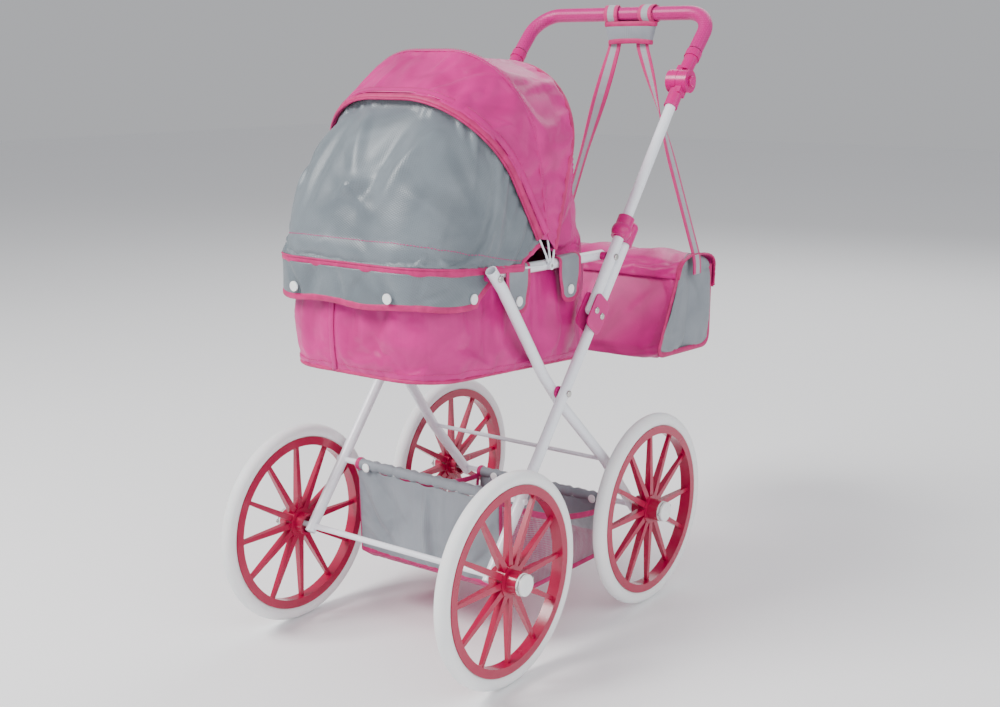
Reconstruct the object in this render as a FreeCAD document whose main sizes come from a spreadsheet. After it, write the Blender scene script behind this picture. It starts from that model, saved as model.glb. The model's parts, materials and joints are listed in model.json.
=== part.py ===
import FreeCAD, Part
import math
import os

import Sketcher
from FreeCAD import Placement, Rotation, Vector

# A doll stroller with crossed folding legs, four spoked wheels, a cot with a hood, a basket and a bag.
# +Z is up, -Y is the way it travels, and the child's handle is at the rear. The origin is on the floor,
# midway between the four wheels. The left side is at +X. Millimetres and degrees.

doc = FreeCAD.newDocument("DollStroller")
dims = doc.addObject("Spreadsheet::Sheet", "dims")

DRIVING = {
    "wheelBase": 295.0,
    "wheelTrack": 313.0,
    "wheelDia": 240.0,
    "tyreDia": 17.0,
    "rimWidth": 14.0,
    "rimThick": 8.0,
    "hubDia": 26.0,
    "hubCollarDia": 36.0,
    "hubLength": 38.0,
    "axleDia": 7.0,
    "capDia": 25.0,
    "capThick": 6.0,
    "clipDia": 1.6,
    "tubeDia": 12.7,
    "tubeWall": 1.0,
    "thinRodDia": 5.0,
    "basketRodDia": 7.0,
    "legHalf": 133.0,
    "legLean": 38.6,
    "legFoot": 8.0,
    "legLength": 445.0,
    "pivotAlong": 224.0,
    "bracketAlong": 326.0,
    "handleOffset": 14.0,
    "handleLean": 37.5,
    "railAlong": 71.0,
    "sleeveAlong": 283.0,
    "swivelAlong": 321.0,
    "gripLean": 43.5,
    "gripReach": 115.6,
    "gripCorner": 36.0,
    "foamDia": 18.0,
    "foamStart": 50.0,
    "rearTopHalf": 135.0,
    "rearMidHalf": 117.5,
    "rearPivotAlong": 199.0,
    "rearTopEnd": 12.0,
    "railHalf": 114.0,
    "railDia": 12.0,
    "railReach": 307.0,
    "railCorner": 55.0,
    "railTail": 8.0,
    "hoodAlong": 110.2,
    "bowDia": 2.4,
    "bowTab": 1.0,
    "bowCorner": 100.0,
    "apronCorner": 63.0,
    "apronReach": 205.0,
    "frontReach": 222.0,
    "middleReach": 236.0,
    "rearReach": 226.0,
    "apronAngle": 4.0,
    "frontAngle": 56.0,
    "middleAngle": 77.0,
    "rearAngle": 106.0,
    "tubHalf": 105.0,
    "tubFront": 212.0,
    "tubRear": 104.0,
    "tubCorner": 52.0,
    "cloth": 1.6,
    "boardThick": 2.5,
    "basketHalf": 106.0,
    "bagHalf": 110.0,
    "strapWidth": 20.0,
    "rivetDia": 4.0,
    "rivetHead": 8.0,
    "sleeveDia": 17.0,
    "discDia": 28.0,
    "discThick": 13.6,
    "buttonDia": 13.0,
    "gap": 0.3,
    "fit": 0.05,
    "basketRodAlong": 89.0,
    "rearRodAlong": 100.0,
    "rodOverhang": 3.0,
    "rivetTail": 1.5,
    "bracketDeep": 32.0,
    "bracketTall": 42.0,
    "bracketFoot": 22.0,
    "bracketBack": 7.4,
    "bracketPlate": 2.0,
    "bracketRound": 7.0,
    "rearBendTop": 30.0,
    "rearBendAbove": 32.0,
    "rearBendBelow": 28.0,
    "rearBendFoot": 134.0,
    "rearBendRadius": 60.0,
    "crossWasherDia": 14.0,
    "railWasherDia": 9.0,
    "hubInward": 16.2,
    "hubCollarLength": 12.0,
    "hubHollow": 8.0,
    "spokeWide": 8.0,
    "spokeNarrow": 4.4,
    "capFlange": 2.0,
    "capGroove": 1.8,
    "capNeck": 3.0,
    "capFaceAt": 3.8,
    "capRound": 1.6,
    "clipAt": 2.9,
    "handleTail": 18.0,
    "handleHollowAt": 8.0,
    "barrelLength": 23.2,
    "barrelNear": 14.8,
    "webWide": 8.3,
    "webDeep": 15.0,
    "webTall": 20.0,
    "swivelPinDia": 6.0,
    "swivelPinLength": 20.0,
    "swivelPinInside": 121.0,
    "pocketInside": 141.0,
    "pocketDeep": 7.0,
    "buttonInside": 144.2,
    "buttonLength": 6.5,
    "buttonRound": 1.5,
    "collarAlong": 37.5,
    "collarLength": 10.0,
    "gripTubeAlong": 18.0,
    "lockSleeveDia": 20.0,
    "lockSleeveLength": 27.0,
    "lockSleeveAlong": 97.0,
    "lockKnobDia": 24.0,
    "lockKnobAlong": 106.0,
    "lockCapDia": 18.0,
    "lockCapLength": 22.0,
    "lockWeb": 14.0,
    "tubFrontFoot": 338.0,
    "tubRearFoot": 318.0,
    "tabWidth": 40.0,
    "tabThick": 1.4,
    "tabFoot": 399.0,
    "snapDia": 11.0,
    "snapThick": 1.4,
    "bowFoot": 13.0,
    "bowEyeDia": 9.0,
    "hoodHalf": 126.4,
    "hoodFoot": 18.0,
    "apronHalf": 121.0,
    "skirtHalf": 123.4,
    "skirtCorner": 66.0,
    "skirtTall": 26.0,
    "skirtFoot": 416.0,
    "skirtTail": 152.0,
    "strapBack": 336.0,
    "strapFoot": 372.0,
    "strapBend": 404.0,
    "strapThick": 1.6,
    "padWidth": 74.0,
    "padThick": 2.4,
    "padTall": 19.0,
    "padFoot": 690.5,
}
for row, (alias, value) in enumerate(DRIVING.items(), 1):
    dims.set(f"A{row}", alias)
    dims.set(f"B{row}", str(value))
    dims.setAlias(f"B{row}", alias)
doc.recompute()

nodes = []


def size(alias):
    return float(dims.get(alias))


def along(start, lean, distance):
    """A side-view point (y, z), a distance up a line that leans back from vertical by lean degrees."""
    angle = math.radians(lean)
    return (start[0] + distance * math.sin(angle), start[1] + distance * math.cos(angle))


def lineWay(lean):
    angle = math.radians(lean)
    return Vector(0, math.sin(angle), math.cos(angle))


def spot(half, point):
    return Vector(half, point[0], point[1])


def aimed(base, way):
    """A placement whose Z axis points along way."""
    return Placement(base, Rotation(Vector(0, 0, 1), way))


def sideFrame(base, lean):
    """A placement whose X stays X and whose Y axis points up a line that leans back by lean degrees."""
    return Placement(base, Rotation(Vector(1, 0, 0), 90.0 - lean))


# ---- the side view's points, all worked out from the sheet ----

wheelRadius = size("wheelDia") / 2
frontAxle = (-size("wheelBase") / 2, wheelRadius)
rearAxle = (size("wheelBase") / 2, wheelRadius)
crossPivot = along(frontAxle, size("legLean"), size("pivotAlong"))
legTop = along(frontAxle, size("legLean"), size("legLength") - size("legFoot"))
bracketOnLeg = along(frontAxle, size("legLean"), size("bracketAlong"))
foldPivot = along(bracketOnLeg, size("legLean") - 90, size("handleOffset"))
railPivot = along(foldPivot, size("handleLean"), size("railAlong"))
sleeveFoot = along(foldPivot, size("handleLean"), size("sleeveAlong"))
swivel = along(foldPivot, size("handleLean"), size("swivelAlong"))
gripBar = along(swivel, size("gripLean"), size("gripReach"))
rearLean = math.degrees(math.atan2(crossPivot[0] - rearAxle[0], crossPivot[1] - rearAxle[1]))
rearPivot = along(crossPivot, rearLean, size("rearPivotAlong"))
railLean = math.degrees(math.atan2(rearPivot[0] - railPivot[0], rearPivot[1] - railPivot[1]))
hoodPivot = along(railPivot, railLean, size("hoodAlong"))
railRise = 90 + railLean
sides = (("left", 1), ("right", -1))


# ---- helpers that add bound objects ----

def evaluate(text):
    """The number that a bound text stands for."""
    number = dims.evalExpression(text)
    return float(getattr(number, "Value", number))


def bind(item, **texts):
    for name, text in texts.items():
        item.setExpression(name, text)
    return item


def cylinder(radius, height, place):
    item = doc.addObject("Part::Cylinder", "cylinder")
    bind(item, Radius=radius, Height=height)
    item.Placement = place
    return item


def ball(radius, place):
    item = bind(doc.addObject("Part::Sphere", "ball"), Radius=radius)
    item.Placement = place
    return item


def block(length, width, height, place):
    """A box whose own origin is the middle of its base."""
    item = bind(doc.addObject("Part::Box", "block"), Length=length, Width=width, Height=height)
    doc.recompute()
    corner = Vector(-item.Length.Value / 2, -item.Width.Value / 2, 0)
    item.Placement = place.multiply(Placement(corner, Rotation()))
    return item


def joined(items):
    if len(items) == 1:
        return items[0]
    item = doc.addObject("Part::MultiFuse", "joined")
    item.Shapes = items
    return item


def grouped(items):
    item = doc.addObject("Part::Compound", "grouped")
    item.Links = items
    return item


def cut(base, tools):
    item = doc.addObject("Part::Cut", "cut")
    item.Base = base
    item.Tool = joined(tools)
    return item


def common(first, second):
    item = doc.addObject("Part::Common", "common")
    item.Base = first
    item.Tool = second
    return item


def keep(item, label):
    """Make item a sub-part with its own label."""
    item.Label = label
    nodes.append(item)
    return item


def plane(body, role):
    return next(item for item in body.Origin.OriginFeatures if item.Role == role)


def sketchOn(body, role):
    sketch = body.newObject("Sketcher::SketchObject", "sketch")
    sketch.AttachmentSupport = [(plane(body, role), "")]
    sketch.MapMode = "FlatFace"
    return sketch


def addCircle(sketch, centre, radius):
    """A circle whose centre is (text, number) along the sketch's X axis and whose radius is bound."""
    index = sketch.addGeometry(Part.Circle(Vector(centre[1], 0, 0), Vector(0, 0, 1), 1.0), False)
    where = sketch.addConstraint(Sketcher.Constraint("DistanceX", -1, 1, index, 3, centre[1]))
    if centre[1] == 0:
        sketch.delConstraint(where)
        sketch.addConstraint(Sketcher.Constraint("Coincident", index, 3, -1, 1))
    else:
        sketch.setExpression(f"Constraints[{where}]", centre[0])
        sketch.addConstraint(Sketcher.Constraint("PointOnObject", index, 3, -1))
    bound = sketch.addConstraint(Sketcher.Constraint("Radius", index, 1.0))
    sketch.setExpression(f"Constraints[{bound}]", radius)


def archPath(sketch, half, reach, corner):
    """A U of two legs, two round corners and a crown, open at the sketch's X axis."""
    side, top, bend = (evaluate(text) for text in (half, reach, corner))
    middle = Vector(0, 0, 1)
    right = Part.Circle(Vector(side - bend, top - bend, 0), middle, bend)
    left = Part.Circle(Vector(bend - side, top - bend, 0), middle, bend)
    parts = [
        Part.LineSegment(Vector(side, 0, 0), Vector(side, top - bend, 0)),
        Part.ArcOfCircle(right, 0, math.pi / 2),
        Part.LineSegment(Vector(side - bend, top, 0), Vector(bend - side, top, 0)),
        Part.ArcOfCircle(left, math.pi / 2, math.pi),
        Part.LineSegment(Vector(-side, top - bend, 0), Vector(-side, 0, 0)),
    ]
    sketch.addGeometry(parts, False)
    for constraint in (
        Sketcher.Constraint("Tangent", 0, 2, 1, 1),
        Sketcher.Constraint("Tangent", 1, 2, 2, 1),
        Sketcher.Constraint("Tangent", 2, 2, 3, 1),
        Sketcher.Constraint("Tangent", 3, 2, 4, 1),
        Sketcher.Constraint("Vertical", 0),
        Sketcher.Constraint("Horizontal", 2),
        Sketcher.Constraint("Equal", 1, 3),
        Sketcher.Constraint("PointOnObject", 0, 1, -1),
        Sketcher.Constraint("PointOnObject", 4, 2, -1),
    ):
        sketch.addConstraint(constraint)
    for constraint, text in (
        (Sketcher.Constraint("DistanceX", -1, 1, 0, 1, side), half),
        (Sketcher.Constraint("DistanceX", 4, 2, -1, 1, side), half),
        (Sketcher.Constraint("DistanceY", -1, 1, 2, 1, top), reach),
        (Sketcher.Constraint("Radius", 1, bend), corner),
    ):
        index = sketch.addConstraint(constraint)
        sketch.setExpression(f"Constraints[{index}]", text)


def archTube(half, reach, corner, radius, inner, place):
    """A tube bent to a U in its own XY plane, placed so that its open ends are on its X axis."""
    body = doc.addObject("PartDesign::Body", "archBody")
    path = sketchOn(body, "XY_Plane")
    archPath(path, half, reach, corner)
    profile = sketchOn(body, "XZ_Plane")
    addCircle(profile, (half, evaluate(half)), radius)
    if inner:
        addCircle(profile, (half, evaluate(half)), inner)
    pipe = body.newObject("PartDesign::AdditivePipe", "pipe")
    pipe.Profile = profile
    pipe.Spine = (path, [f"Edge{number}" for number in range(1, 6)])
    body.Tip = pipe
    body.Placement = place
    return body


def bentTube(corners, bend, radius, inner, place):
    """A tube along straight runs joined by tangent arcs, in its own XY plane, starting along its Y axis."""
    body = doc.addObject("PartDesign::Body", "bentBody")
    path = sketchOn(body, "XY_Plane")
    points = [Vector(*corner, 0) for corner in corners]
    start = points[0]
    count = 0
    for before, here, after in zip(points, points[1:], points[2:]):
        way = (here - before).normalize()
        leave = (after - here).normalize()
        turn = way.getAngle(leave)
        reach = bend * math.tan(turn / 2)
        first = here - way * reach
        last = here + leave * reach
        inward = (leave - way).normalize()
        middle = here + inward * (bend / math.cos(turn / 2) - bend)
        path.addGeometry(Part.LineSegment(start, first), False)
        path.addGeometry(Part.Arc(first, middle, last), False)
        start = last
        count += 2
    path.addGeometry(Part.LineSegment(start, points[-1]), False)
    profile = sketchOn(body, "XZ_Plane")
    for text in (radius, inner):
        index = profile.addGeometry(Part.Circle(Vector(corners[0][0], 0, 0), Vector(0, 0, 1), 1.0), False)
        bound = profile.addConstraint(Sketcher.Constraint("Radius", index, 1.0))
        profile.setExpression(f"Constraints[{bound}]", text)
        profile.addConstraint(Sketcher.Constraint("Block", index))
    pipe = body.newObject("PartDesign::AdditivePipe", "pipe")
    pipe.Profile = profile
    pipe.Spine = (path, [f"Edge{number}" for number in range(1, count + 2)])
    body.Tip = pipe
    body.Placement = place
    return body


def prism(outline, width, place=Placement()):
    """A side-view outline of (y, z) points, padded to both sides of the middle plane."""
    body = doc.addObject("PartDesign::Body", "prismBody")
    sketch = sketchOn(body, "YZ_Plane")
    points = [Vector(y, z, 0) for y, z in outline]
    for first, second in zip(points, points[1:] + points[:1]):
        sketch.addGeometry(Part.LineSegment(first, second), False)
    pad = body.newObject("PartDesign::Pad", "pad")
    pad.Profile = sketch
    pad.Midplane = True
    pad.setExpression("Length", width)
    body.Tip = pad
    body.Placement = place
    return body


def straightTube(length, place, drills=()):
    outer = cylinder("dims.tubeDia / 2", length, place)
    inner = cylinder("dims.tubeDia / 2 - dims.tubeWall", length, place)
    return cut(outer, [inner, *drills])


def crossHole(half, point, radius, length):
    """A drill along X through a wall whose middle is at half."""
    reach = evaluate(length) / 2
    return cylinder(radius, length, aimed(spot(half - reach, point), Vector(1, 0, 0)))


def domed(item, radius):
    """Round the far edge of a cylinder."""
    dome = doc.addObject("Part::Fillet", "dome")
    dome.Base = item
    doc.recompute()
    dome.Edges = [(3, radius, radius)]
    return dome


def rivet(side, inside, outside, point, length):
    """A round-headed pin along X from inside to outside of one side of the frame."""
    way = Vector(side, 0, 0)
    shank = cylinder("dims.rivetDia / 2", length, aimed(spot(side * inside, point), way))
    head = cylinder("dims.rivetHead / 2", "dims.rivetHead / 4", aimed(spot(side * outside, point), way))
    return joined([shank, domed(head, size("rivetHead") / 5)])


def thinArch(sketch, half, reach, corner, foot, thick):
    """The closed outline of a thin U wall: an outer arch and an inner one, joined at their feet."""
    up = Vector(0, 0, 1)
    outline = []
    for inset, turn in ((0.0, 1), (thick, -1)):
        side = half - inset
        top = reach - inset
        bend = corner - inset
        right = Part.Circle(Vector(side - bend, top - bend, 0), up, bend)
        left = Part.Circle(Vector(bend - side, top - bend, 0), up, bend)
        run = [
            Part.LineSegment(Vector(side, foot, 0), Vector(side, top - bend, 0)),
            Part.ArcOfCircle(right, 0, math.pi / 2),
            Part.LineSegment(Vector(side - bend, top, 0), Vector(bend - side, top, 0)),
            Part.ArcOfCircle(left, math.pi / 2, math.pi),
            Part.LineSegment(Vector(-side, top - bend, 0), Vector(-side, foot, 0)),
        ]
        outline += run
    outline.append(Part.LineSegment(Vector(-half, foot, 0), Vector(thick - half, foot, 0)))
    outline.append(Part.LineSegment(Vector(half - thick, foot, 0), Vector(half, foot, 0)))
    sketch.addGeometry(outline, False)


def fanShell(sections):
    """A thin shell through arches that stand on the hood's pivot line, each at its own angle."""
    outlines = []
    for angle, half, reach, corner, foot in sections:
        sketch = doc.addObject("Sketcher::SketchObject", "arch")
        thinArch(sketch, half, reach, corner, foot, size("cloth") * 0.75)
        sketch.Placement = sideFrame(spot(0, hoodPivot), angle - 90)
        outlines.append(sketch)
    loft = doc.addObject("Part::Loft", "loft")
    loft.Sections = outlines
    loft.Solid = True
    loft.Ruled = False
    return loft


def roundedPad(half, front, rear, corner, height, place):
    """A plan-view rectangle with round corners, padded up from the body's XY plane."""
    body = doc.addObject("PartDesign::Body", "padBody")
    sketch = sketchOn(body, "XY_Plane")
    up = Vector(0, 0, 1)
    corners = ((half, rear, 0), (-half, rear, 90), (-half, front, 180), (half, front, 270))
    last = Vector(half, front + corner, 0)
    for x, y, start in corners:
        middle = Vector(x - math.copysign(corner, x), y - corner if y == rear else y + corner, 0)
        first = middle + Vector(math.cos(math.radians(start)), math.sin(math.radians(start)), 0) * corner
        sketch.addGeometry(Part.LineSegment(last, first), False)
        arc = Part.Circle(middle, up, corner)
        sketch.addGeometry(Part.ArcOfCircle(arc, math.radians(start), math.radians(start + 90)), False)
        last = middle + Vector(-math.sin(math.radians(start)), math.cos(math.radians(start)), 0) * corner
    pad = body.newObject("PartDesign::Pad", "pad")
    pad.Profile = sketch
    pad.setExpression("Length", height)
    body.Tip = pad
    body.Placement = place
    return body


def rounded(item, way, radius):
    """Fillet the edges of item that run along way."""
    doc.recompute()
    edges = []
    for number, edge in enumerate(item.Shape.Edges, 1):
        if edge.Curve.TypeId == "Part::GeomLine":
            if abs(abs(edge.tangentAt(edge.FirstParameter).dot(way)) - 1) < 1e-6:
                edges.append((number, radius, radius))
    fillet = doc.addObject("Part::Fillet", "rounded")
    fillet.Base = item
    fillet.Edges = edges
    return fillet


# ---- the front frame: legs, brackets, rods ----

across = Vector(1, 0, 0)
rivetFit = "dims.rivetDia / 2 + dims.fit"
basketRodSpot = along(frontAxle, size("legLean"), size("basketRodAlong"))
rearRodSpot = along(rearAxle, rearLean, size("rearRodAlong"))
wideCut = "2 * dims.legHalf + 40"


def frontLegs():
    for name, side in sides:
        foot = spot(side * size("legHalf"), along(frontAxle, size("legLean"), -size("legFoot")))
        drills = [
            crossHole(0, frontAxle, "dims.axleDia / 2 + dims.fit", wideCut),
            crossHole(0, basketRodSpot, "dims.basketRodDia / 2 + dims.fit", wideCut),
            crossHole(0, crossPivot, rivetFit, wideCut),
            crossHole(0, bracketOnLeg, rivetFit, wideCut),
        ]
        leg = straightTube("dims.legLength", aimed(foot, lineWay(size("legLean"))), drills)
        keep(leg, f"front_leg_{name}")


def brackets():
    """Channels on the front legs that the handle's tubes fold in. Each is open to the front."""
    way = lineWay(size("legLean"))
    down = Vector(0, way.z, -way.y)
    back = size("bracketBack")
    for name, side in sides:
        base = spot(side * size("legHalf"), along(bracketOnLeg, size("legLean"), -size("bracketFoot")))
        shell = block("dims.tubeDia + 2 * dims.bracketPlate", "dims.bracketDeep", "dims.bracketTall",
                      aimed(base - down * back, way))
        shell = rounded(shell, across, size("bracketRound"))
        slot = block("dims.tubeDia + 0.5", "dims.bracketDeep", "dims.bracketTall + 2",
                     aimed(base - down * (back + size("bracketPlate")) - way, way))
        drills = [crossHole(0, bracketOnLeg, rivetFit, wideCut), crossHole(0, foldPivot, rivetFit, wideCut)]
        keep(cut(shell, [slot, *drills]), f"fold_bracket_{name}")


def rods():
    full = "2 * dims.legHalf + dims.tubeDia + dims.rodOverhang"
    axleLength = "dims.wheelTrack + 2 * (dims.hubLength / 2 + 4)"
    for label, point, radius, length in (
        ("front_axle", frontAxle, "dims.axleDia / 2", axleLength),
        ("rear_axle", rearAxle, "dims.axleDia / 2", axleLength),
        ("basket_rod", basketRodSpot, "dims.basketRodDia / 2", full),
        ("rear_cross_rod", rearRodSpot, "dims.thinRodDia / 2", "2 * dims.legHalf - 4"),
    ):
        keep(crossHole(0, point, radius, length), label)


def frameRivets():
    """Pins of the crossing pivots and of the fold brackets, all fixed in the front legs."""
    outer = size("legHalf") + size("tubeDia") / 2
    pins = []
    for name, side in sides:
        inner = size("rearMidHalf") - size("tubeDia") / 2 - size("rivetTail")
        pins.append(rivet(side, inner, outer, crossPivot,
                          "dims.legHalf - dims.rearMidHalf + dims.tubeDia + dims.rivetTail"))
        for point in (bracketOnLeg, foldPivot):
            plate = size("bracketPlate")
            pins.append(rivet(side, size("legHalf") - size("tubeDia") / 2 - plate, outer + plate, point,
                              "dims.tubeDia + 2 * dims.bracketPlate"))
    keep(grouped(pins), "frame_rivets")


# ---- the rear frame ----

def rearLegs():
    end = size("rearPivotAlong") + size("rearTopEnd")
    total = end + math.hypot(crossPivot[0] - rearAxle[0], crossPivot[1] - rearAxle[1]) + size("legFoot")
    top = along(rearPivot, rearLean, size("rearTopEnd"))
    wide = size("rearTopHalf")
    narrow = size("rearMidHalf")
    foot = size("legHalf")
    for name, side in sides:
        corners = [
            (side * wide, 0),
            (side * wide, size("rearBendTop")),
            (side * narrow, end - size("rearBendAbove")),
            (side * narrow, end + size("rearBendBelow")),
            (side * foot, end + size("rearBendFoot")),
            (side * foot, total),
        ]
        tube = bentTube(corners, size("rearBendRadius"), "dims.tubeDia / 2",
                        "dims.tubeDia / 2 - dims.tubeWall",
                        sideFrame(spot(0, top), rearLean + 180))
        drills = [
            crossHole(0, rearAxle, "dims.axleDia / 2 + dims.fit", wideCut),
            crossHole(0, rearRodSpot, "dims.thinRodDia / 2 + dims.fit", "2 * dims.legHalf - 3"),
            crossHole(0, crossPivot, rivetFit, wideCut),
            crossHole(0, rearPivot, rivetFit, wideCut),
        ]
        keep(cut(tube, drills), f"rear_leg_{name}")


def pivotSpacers():
    """Washers between the crossing legs, and between the rear legs' tops and the cot's rail."""
    rings = []
    for name, side in sides:
        for inner, point, radius, length in (
            (size("rearMidHalf") + size("tubeDia") / 2, crossPivot, "dims.crossWasherDia / 2",
             "dims.legHalf - dims.rearMidHalf - dims.tubeDia - dims.gap"),
            (size("railHalf") + size("railDia") / 2 + size("gap"), rearPivot, "dims.railWasherDia / 2",
             "dims.rearTopHalf - dims.tubeDia / 2 - dims.railHalf - dims.railDia / 2 - dims.gap"),
        ):
            ring = cylinder(radius, length, aimed(spot(side * inner, point), Vector(side, 0, 0)))
            rings.append(cut(ring, [crossHole(0, point, rivetFit, wideCut)]))
    keep(grouped(rings), "pivot_spacers")


def rearRivets():
    pins = []
    for name, side in sides:
        inner = size("railHalf") - size("railDia") / 2 - size("rivetTail")
        pins.append(rivet(side, inner, size("rearTopHalf") + size("tubeDia") / 2, rearPivot,
                          "dims.rearTopHalf - dims.railHalf + dims.tubeDia / 2 + dims.railDia / 2"
                          " + dims.rivetTail"))
    keep(grouped(pins), "rear_leg_rivets")


# ---- wheels ----

spokeCount = 12


def wheelPlace(side, point):
    return aimed(spot(side * size("wheelTrack") / 2, point), Vector(side, 0, 0))


def shifted(place, distance):
    return place.multiply(Placement(Vector(0, 0, distance), Rotation()))


def ring(major, minor, place):
    item = bind(doc.addObject("Part::Torus", "ring"), Radius1=major, Radius2=minor)
    item.Placement = place
    return item


def spoke(turn, place):
    """A flat bar that is wide at the hub and narrow at the rim."""
    item = doc.addObject("Part::Wedge", "spoke")
    bind(item,
         Ymin="dims.hubDia / 2 - 2", Ymax="dims.wheelDia / 2 - dims.tyreDia - dims.rimThick + 4",
         Xmin="-dims.spokeWide / 2", Xmax="dims.spokeWide / 2",
         X2min="-dims.spokeNarrow / 2", X2max="dims.spokeNarrow / 2",
         Zmin="-dims.spokeWide / 2", Zmax="dims.spokeWide / 2 + 1",
         Z2min="-dims.spokeNarrow / 2", Z2max="dims.spokeNarrow / 2")
    item.Placement = place.multiply(Placement(Vector(), Rotation(Vector(0, 0, 1), turn)))
    return item


def wheels():
    rimOuter = "dims.wheelDia / 2 - dims.tyreDia + 2"
    rimInner = "dims.wheelDia / 2 - dims.tyreDia - dims.rimThick"
    tyreLine = "dims.wheelDia / 2 - dims.tyreDia / 2"
    inward = size("hubInward")
    for end, point in (("front", frontAxle), ("rear", rearAxle)):
        for name, side in sides:
            place = wheelPlace(side, point)
            keep(ring(tyreLine, "dims.tyreDia / 2", place), f"{end}_tyre_{name}")
            flank = shifted(place, -size("rimWidth") / 2)
            band = cut(cylinder(rimOuter, "dims.rimWidth", flank),
                       [cylinder(rimInner, "dims.rimWidth", flank),
                        ring(tyreLine, "dims.tyreDia / 2 + dims.fit", place)])
            spokes = [spoke(turn * 360 / spokeCount, place) for turn in range(spokeCount)]
            hub = cylinder("dims.hubDia / 2", "dims.hubLength / 2 + dims.hubInward", shifted(place, -inward))
            collar = cylinder("dims.hubCollarDia / 2", "dims.hubCollarLength",
                              shifted(place, -size("hubCollarLength") / 2))
            bore = [crossHole(0, point, "dims.axleDia / 2 + dims.fit", "dims.wheelTrack + 60"),
                    cylinder("dims.hubDia / 2 - 3", "dims.hubHollow", shifted(place, -inward - 1))]
            keep(cut(joined([band, hub, collar, *spokes]), bore), f"{end}_wheel_{name}")


def axleCaps():
    """Round white caps on the axles' ends, each with a groove for a bent wire clip."""
    groove = "dims.capDia / 2 - dims.capGroove"
    for end, point in (("front", frontAxle), ("rear", rearAxle)):
        caps = []
        clips = []
        for name, side in sides:
            place = shifted(wheelPlace(side, point), size("hubLength") / 2 + size("gap"))
            flange = cylinder("dims.capDia / 2", "dims.capFlange", place)
            neck = cylinder(groove, "dims.capNeck", shifted(place, size("capFlange") / 2))
            face = cylinder("dims.capDia / 2 - 0.4", "dims.capThick / 2", shifted(place, size("capFaceAt")))
            face = domed(face, size("capRound"))
            pinHole = cylinder("dims.axleDia / 2 + dims.fit", "4.2", shifted(place, -0.2))
            caps.append(cut(joined([flange, neck, face]), [pinHole]))
            middle = shifted(place, size("clipAt"))
            wire = "dims.clipDia / 2 - 0.1"
            loops = [ring("dims.capDia / 2 - 0.9", wire, middle)]
            for turn, away in ((78, 2.0), (102, 2.0), (-90, 1.5)):
                turned = middle.multiply(Placement(Vector(), Rotation(Vector(0, 0, 1), turn)))
                reach = size("capDia") / 2 - 0.3 + away
                loops.append(ring(str(away), wire, turned.multiply(
                    Placement(Vector(reach, 0, 0.25), Rotation()))))
            clips.append(joined(loops))
        keep(grouped(caps), f"{end}_axle_caps")
        keep(grouped(clips), f"{end}_axle_clips")


# ---- the handle ----

def handleTubes():
    way = lineWay(size("handleLean"))
    for name, side in sides:
        place = aimed(spot(side * size("legHalf"), foldPivot), way)
        outer = joined([cylinder("dims.tubeDia / 2", "dims.sleeveAlong + dims.handleTail", place),
                        ball("dims.tubeDia / 2", place)])
        inner = cylinder("dims.tubeDia / 2 - dims.tubeWall", "dims.sleeveAlong + dims.handleTail",
                         shifted(place, size("handleHollowAt")))
        drills = [crossHole(0, foldPivot, rivetFit, wideCut), crossHole(0, railPivot, rivetFit, wideCut)]
        keep(cut(outer, [inner, *drills]), f"handle_tube_{name}")


def swivelHalf(side, point, lean, inner, away):
    """A sleeve on a tube, a web and a disc. The two halves' discs lie side by side along X."""
    way = lineWay(lean)
    near = size("barrelNear")
    ends = sorted((near * away, (near + size("barrelLength")) * away))
    middle = spot(side * size("legHalf"), point)
    barrel = cylinder("dims.sleeveDia / 2", "dims.barrelLength", aimed(middle + way * ends[0], way))
    disc = cylinder("dims.discDia / 2", "dims.discThick",
                    aimed(spot(side * inner, point), Vector(side, 0, 0)))
    outside = 1 if inner > size("legHalf") - 1 else -1
    webMiddle = size("legHalf") + outside * (size("webWide") / 2 + 0.2)
    webBase = spot(side * webMiddle, point) + way * min(0.0, size("webTall") * away)
    web = block("dims.webWide", "dims.webDeep", "dims.webTall", aimed(webBase, way))
    return barrel, disc, web


def swivels():
    way = lineWay(size("handleLean"))
    up = lineWay(size("gripLean"))
    for name, side in sides:
        outer = size("legHalf") + 0.2
        barrel, disc, web = swivelHalf(side, swivel, size("handleLean"), outer, -1)
        tube = aimed(spot(side * size("legHalf"), sleeveFoot) - way, way)
        toOutside = Vector(side, 0, 0)
        pocket = cylinder("dims.buttonDia / 2 + 0.1", "dims.pocketDeep",
                          aimed(spot(side * size("pocketInside"), swivel), toOutside))
        pin = cylinder("dims.swivelPinDia / 2", "dims.swivelPinLength",
                       aimed(spot(side * size("swivelPinInside"), swivel), toOutside))
        bore = cylinder("dims.tubeDia / 2 + dims.fit", "20", tube)
        keep(cut(joined([barrel, disc, web]), [bore, pocket, pin]), f"lower_sleeve_{name}")
        inner = size("legHalf") - 0.2 - size("discThick")
        barrel, disc, web = swivelHalf(side, swivel, size("gripLean"), inner, 1)
        collar = cylinder("dims.sleeveDia / 2 + 1.5", "dims.collarLength",
                          aimed(spot(side * size("legHalf"), swivel) + up * size("collarAlong"), up))
        tube = aimed(spot(side * size("legHalf"), swivel) + up * 17.5, up)
        bore = cylinder("dims.tubeDia / 2 + dims.fit", "40", tube)
        hole = cylinder("dims.swivelPinDia / 2 + dims.fit", "dims.swivelPinLength",
                        aimed(spot(side * (size("swivelPinInside") - 3), swivel), toOutside))
        keep(cut(joined([barrel, disc, web, collar]), [bore, hole]), f"upper_sleeve_{name}")
        button = cylinder("dims.buttonDia / 2", "dims.buttonLength",
                          aimed(spot(side * size("buttonInside"), swivel), toOutside))
        keep(domed(button, size("buttonRound")), f"swivel_button_{name}")


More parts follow.
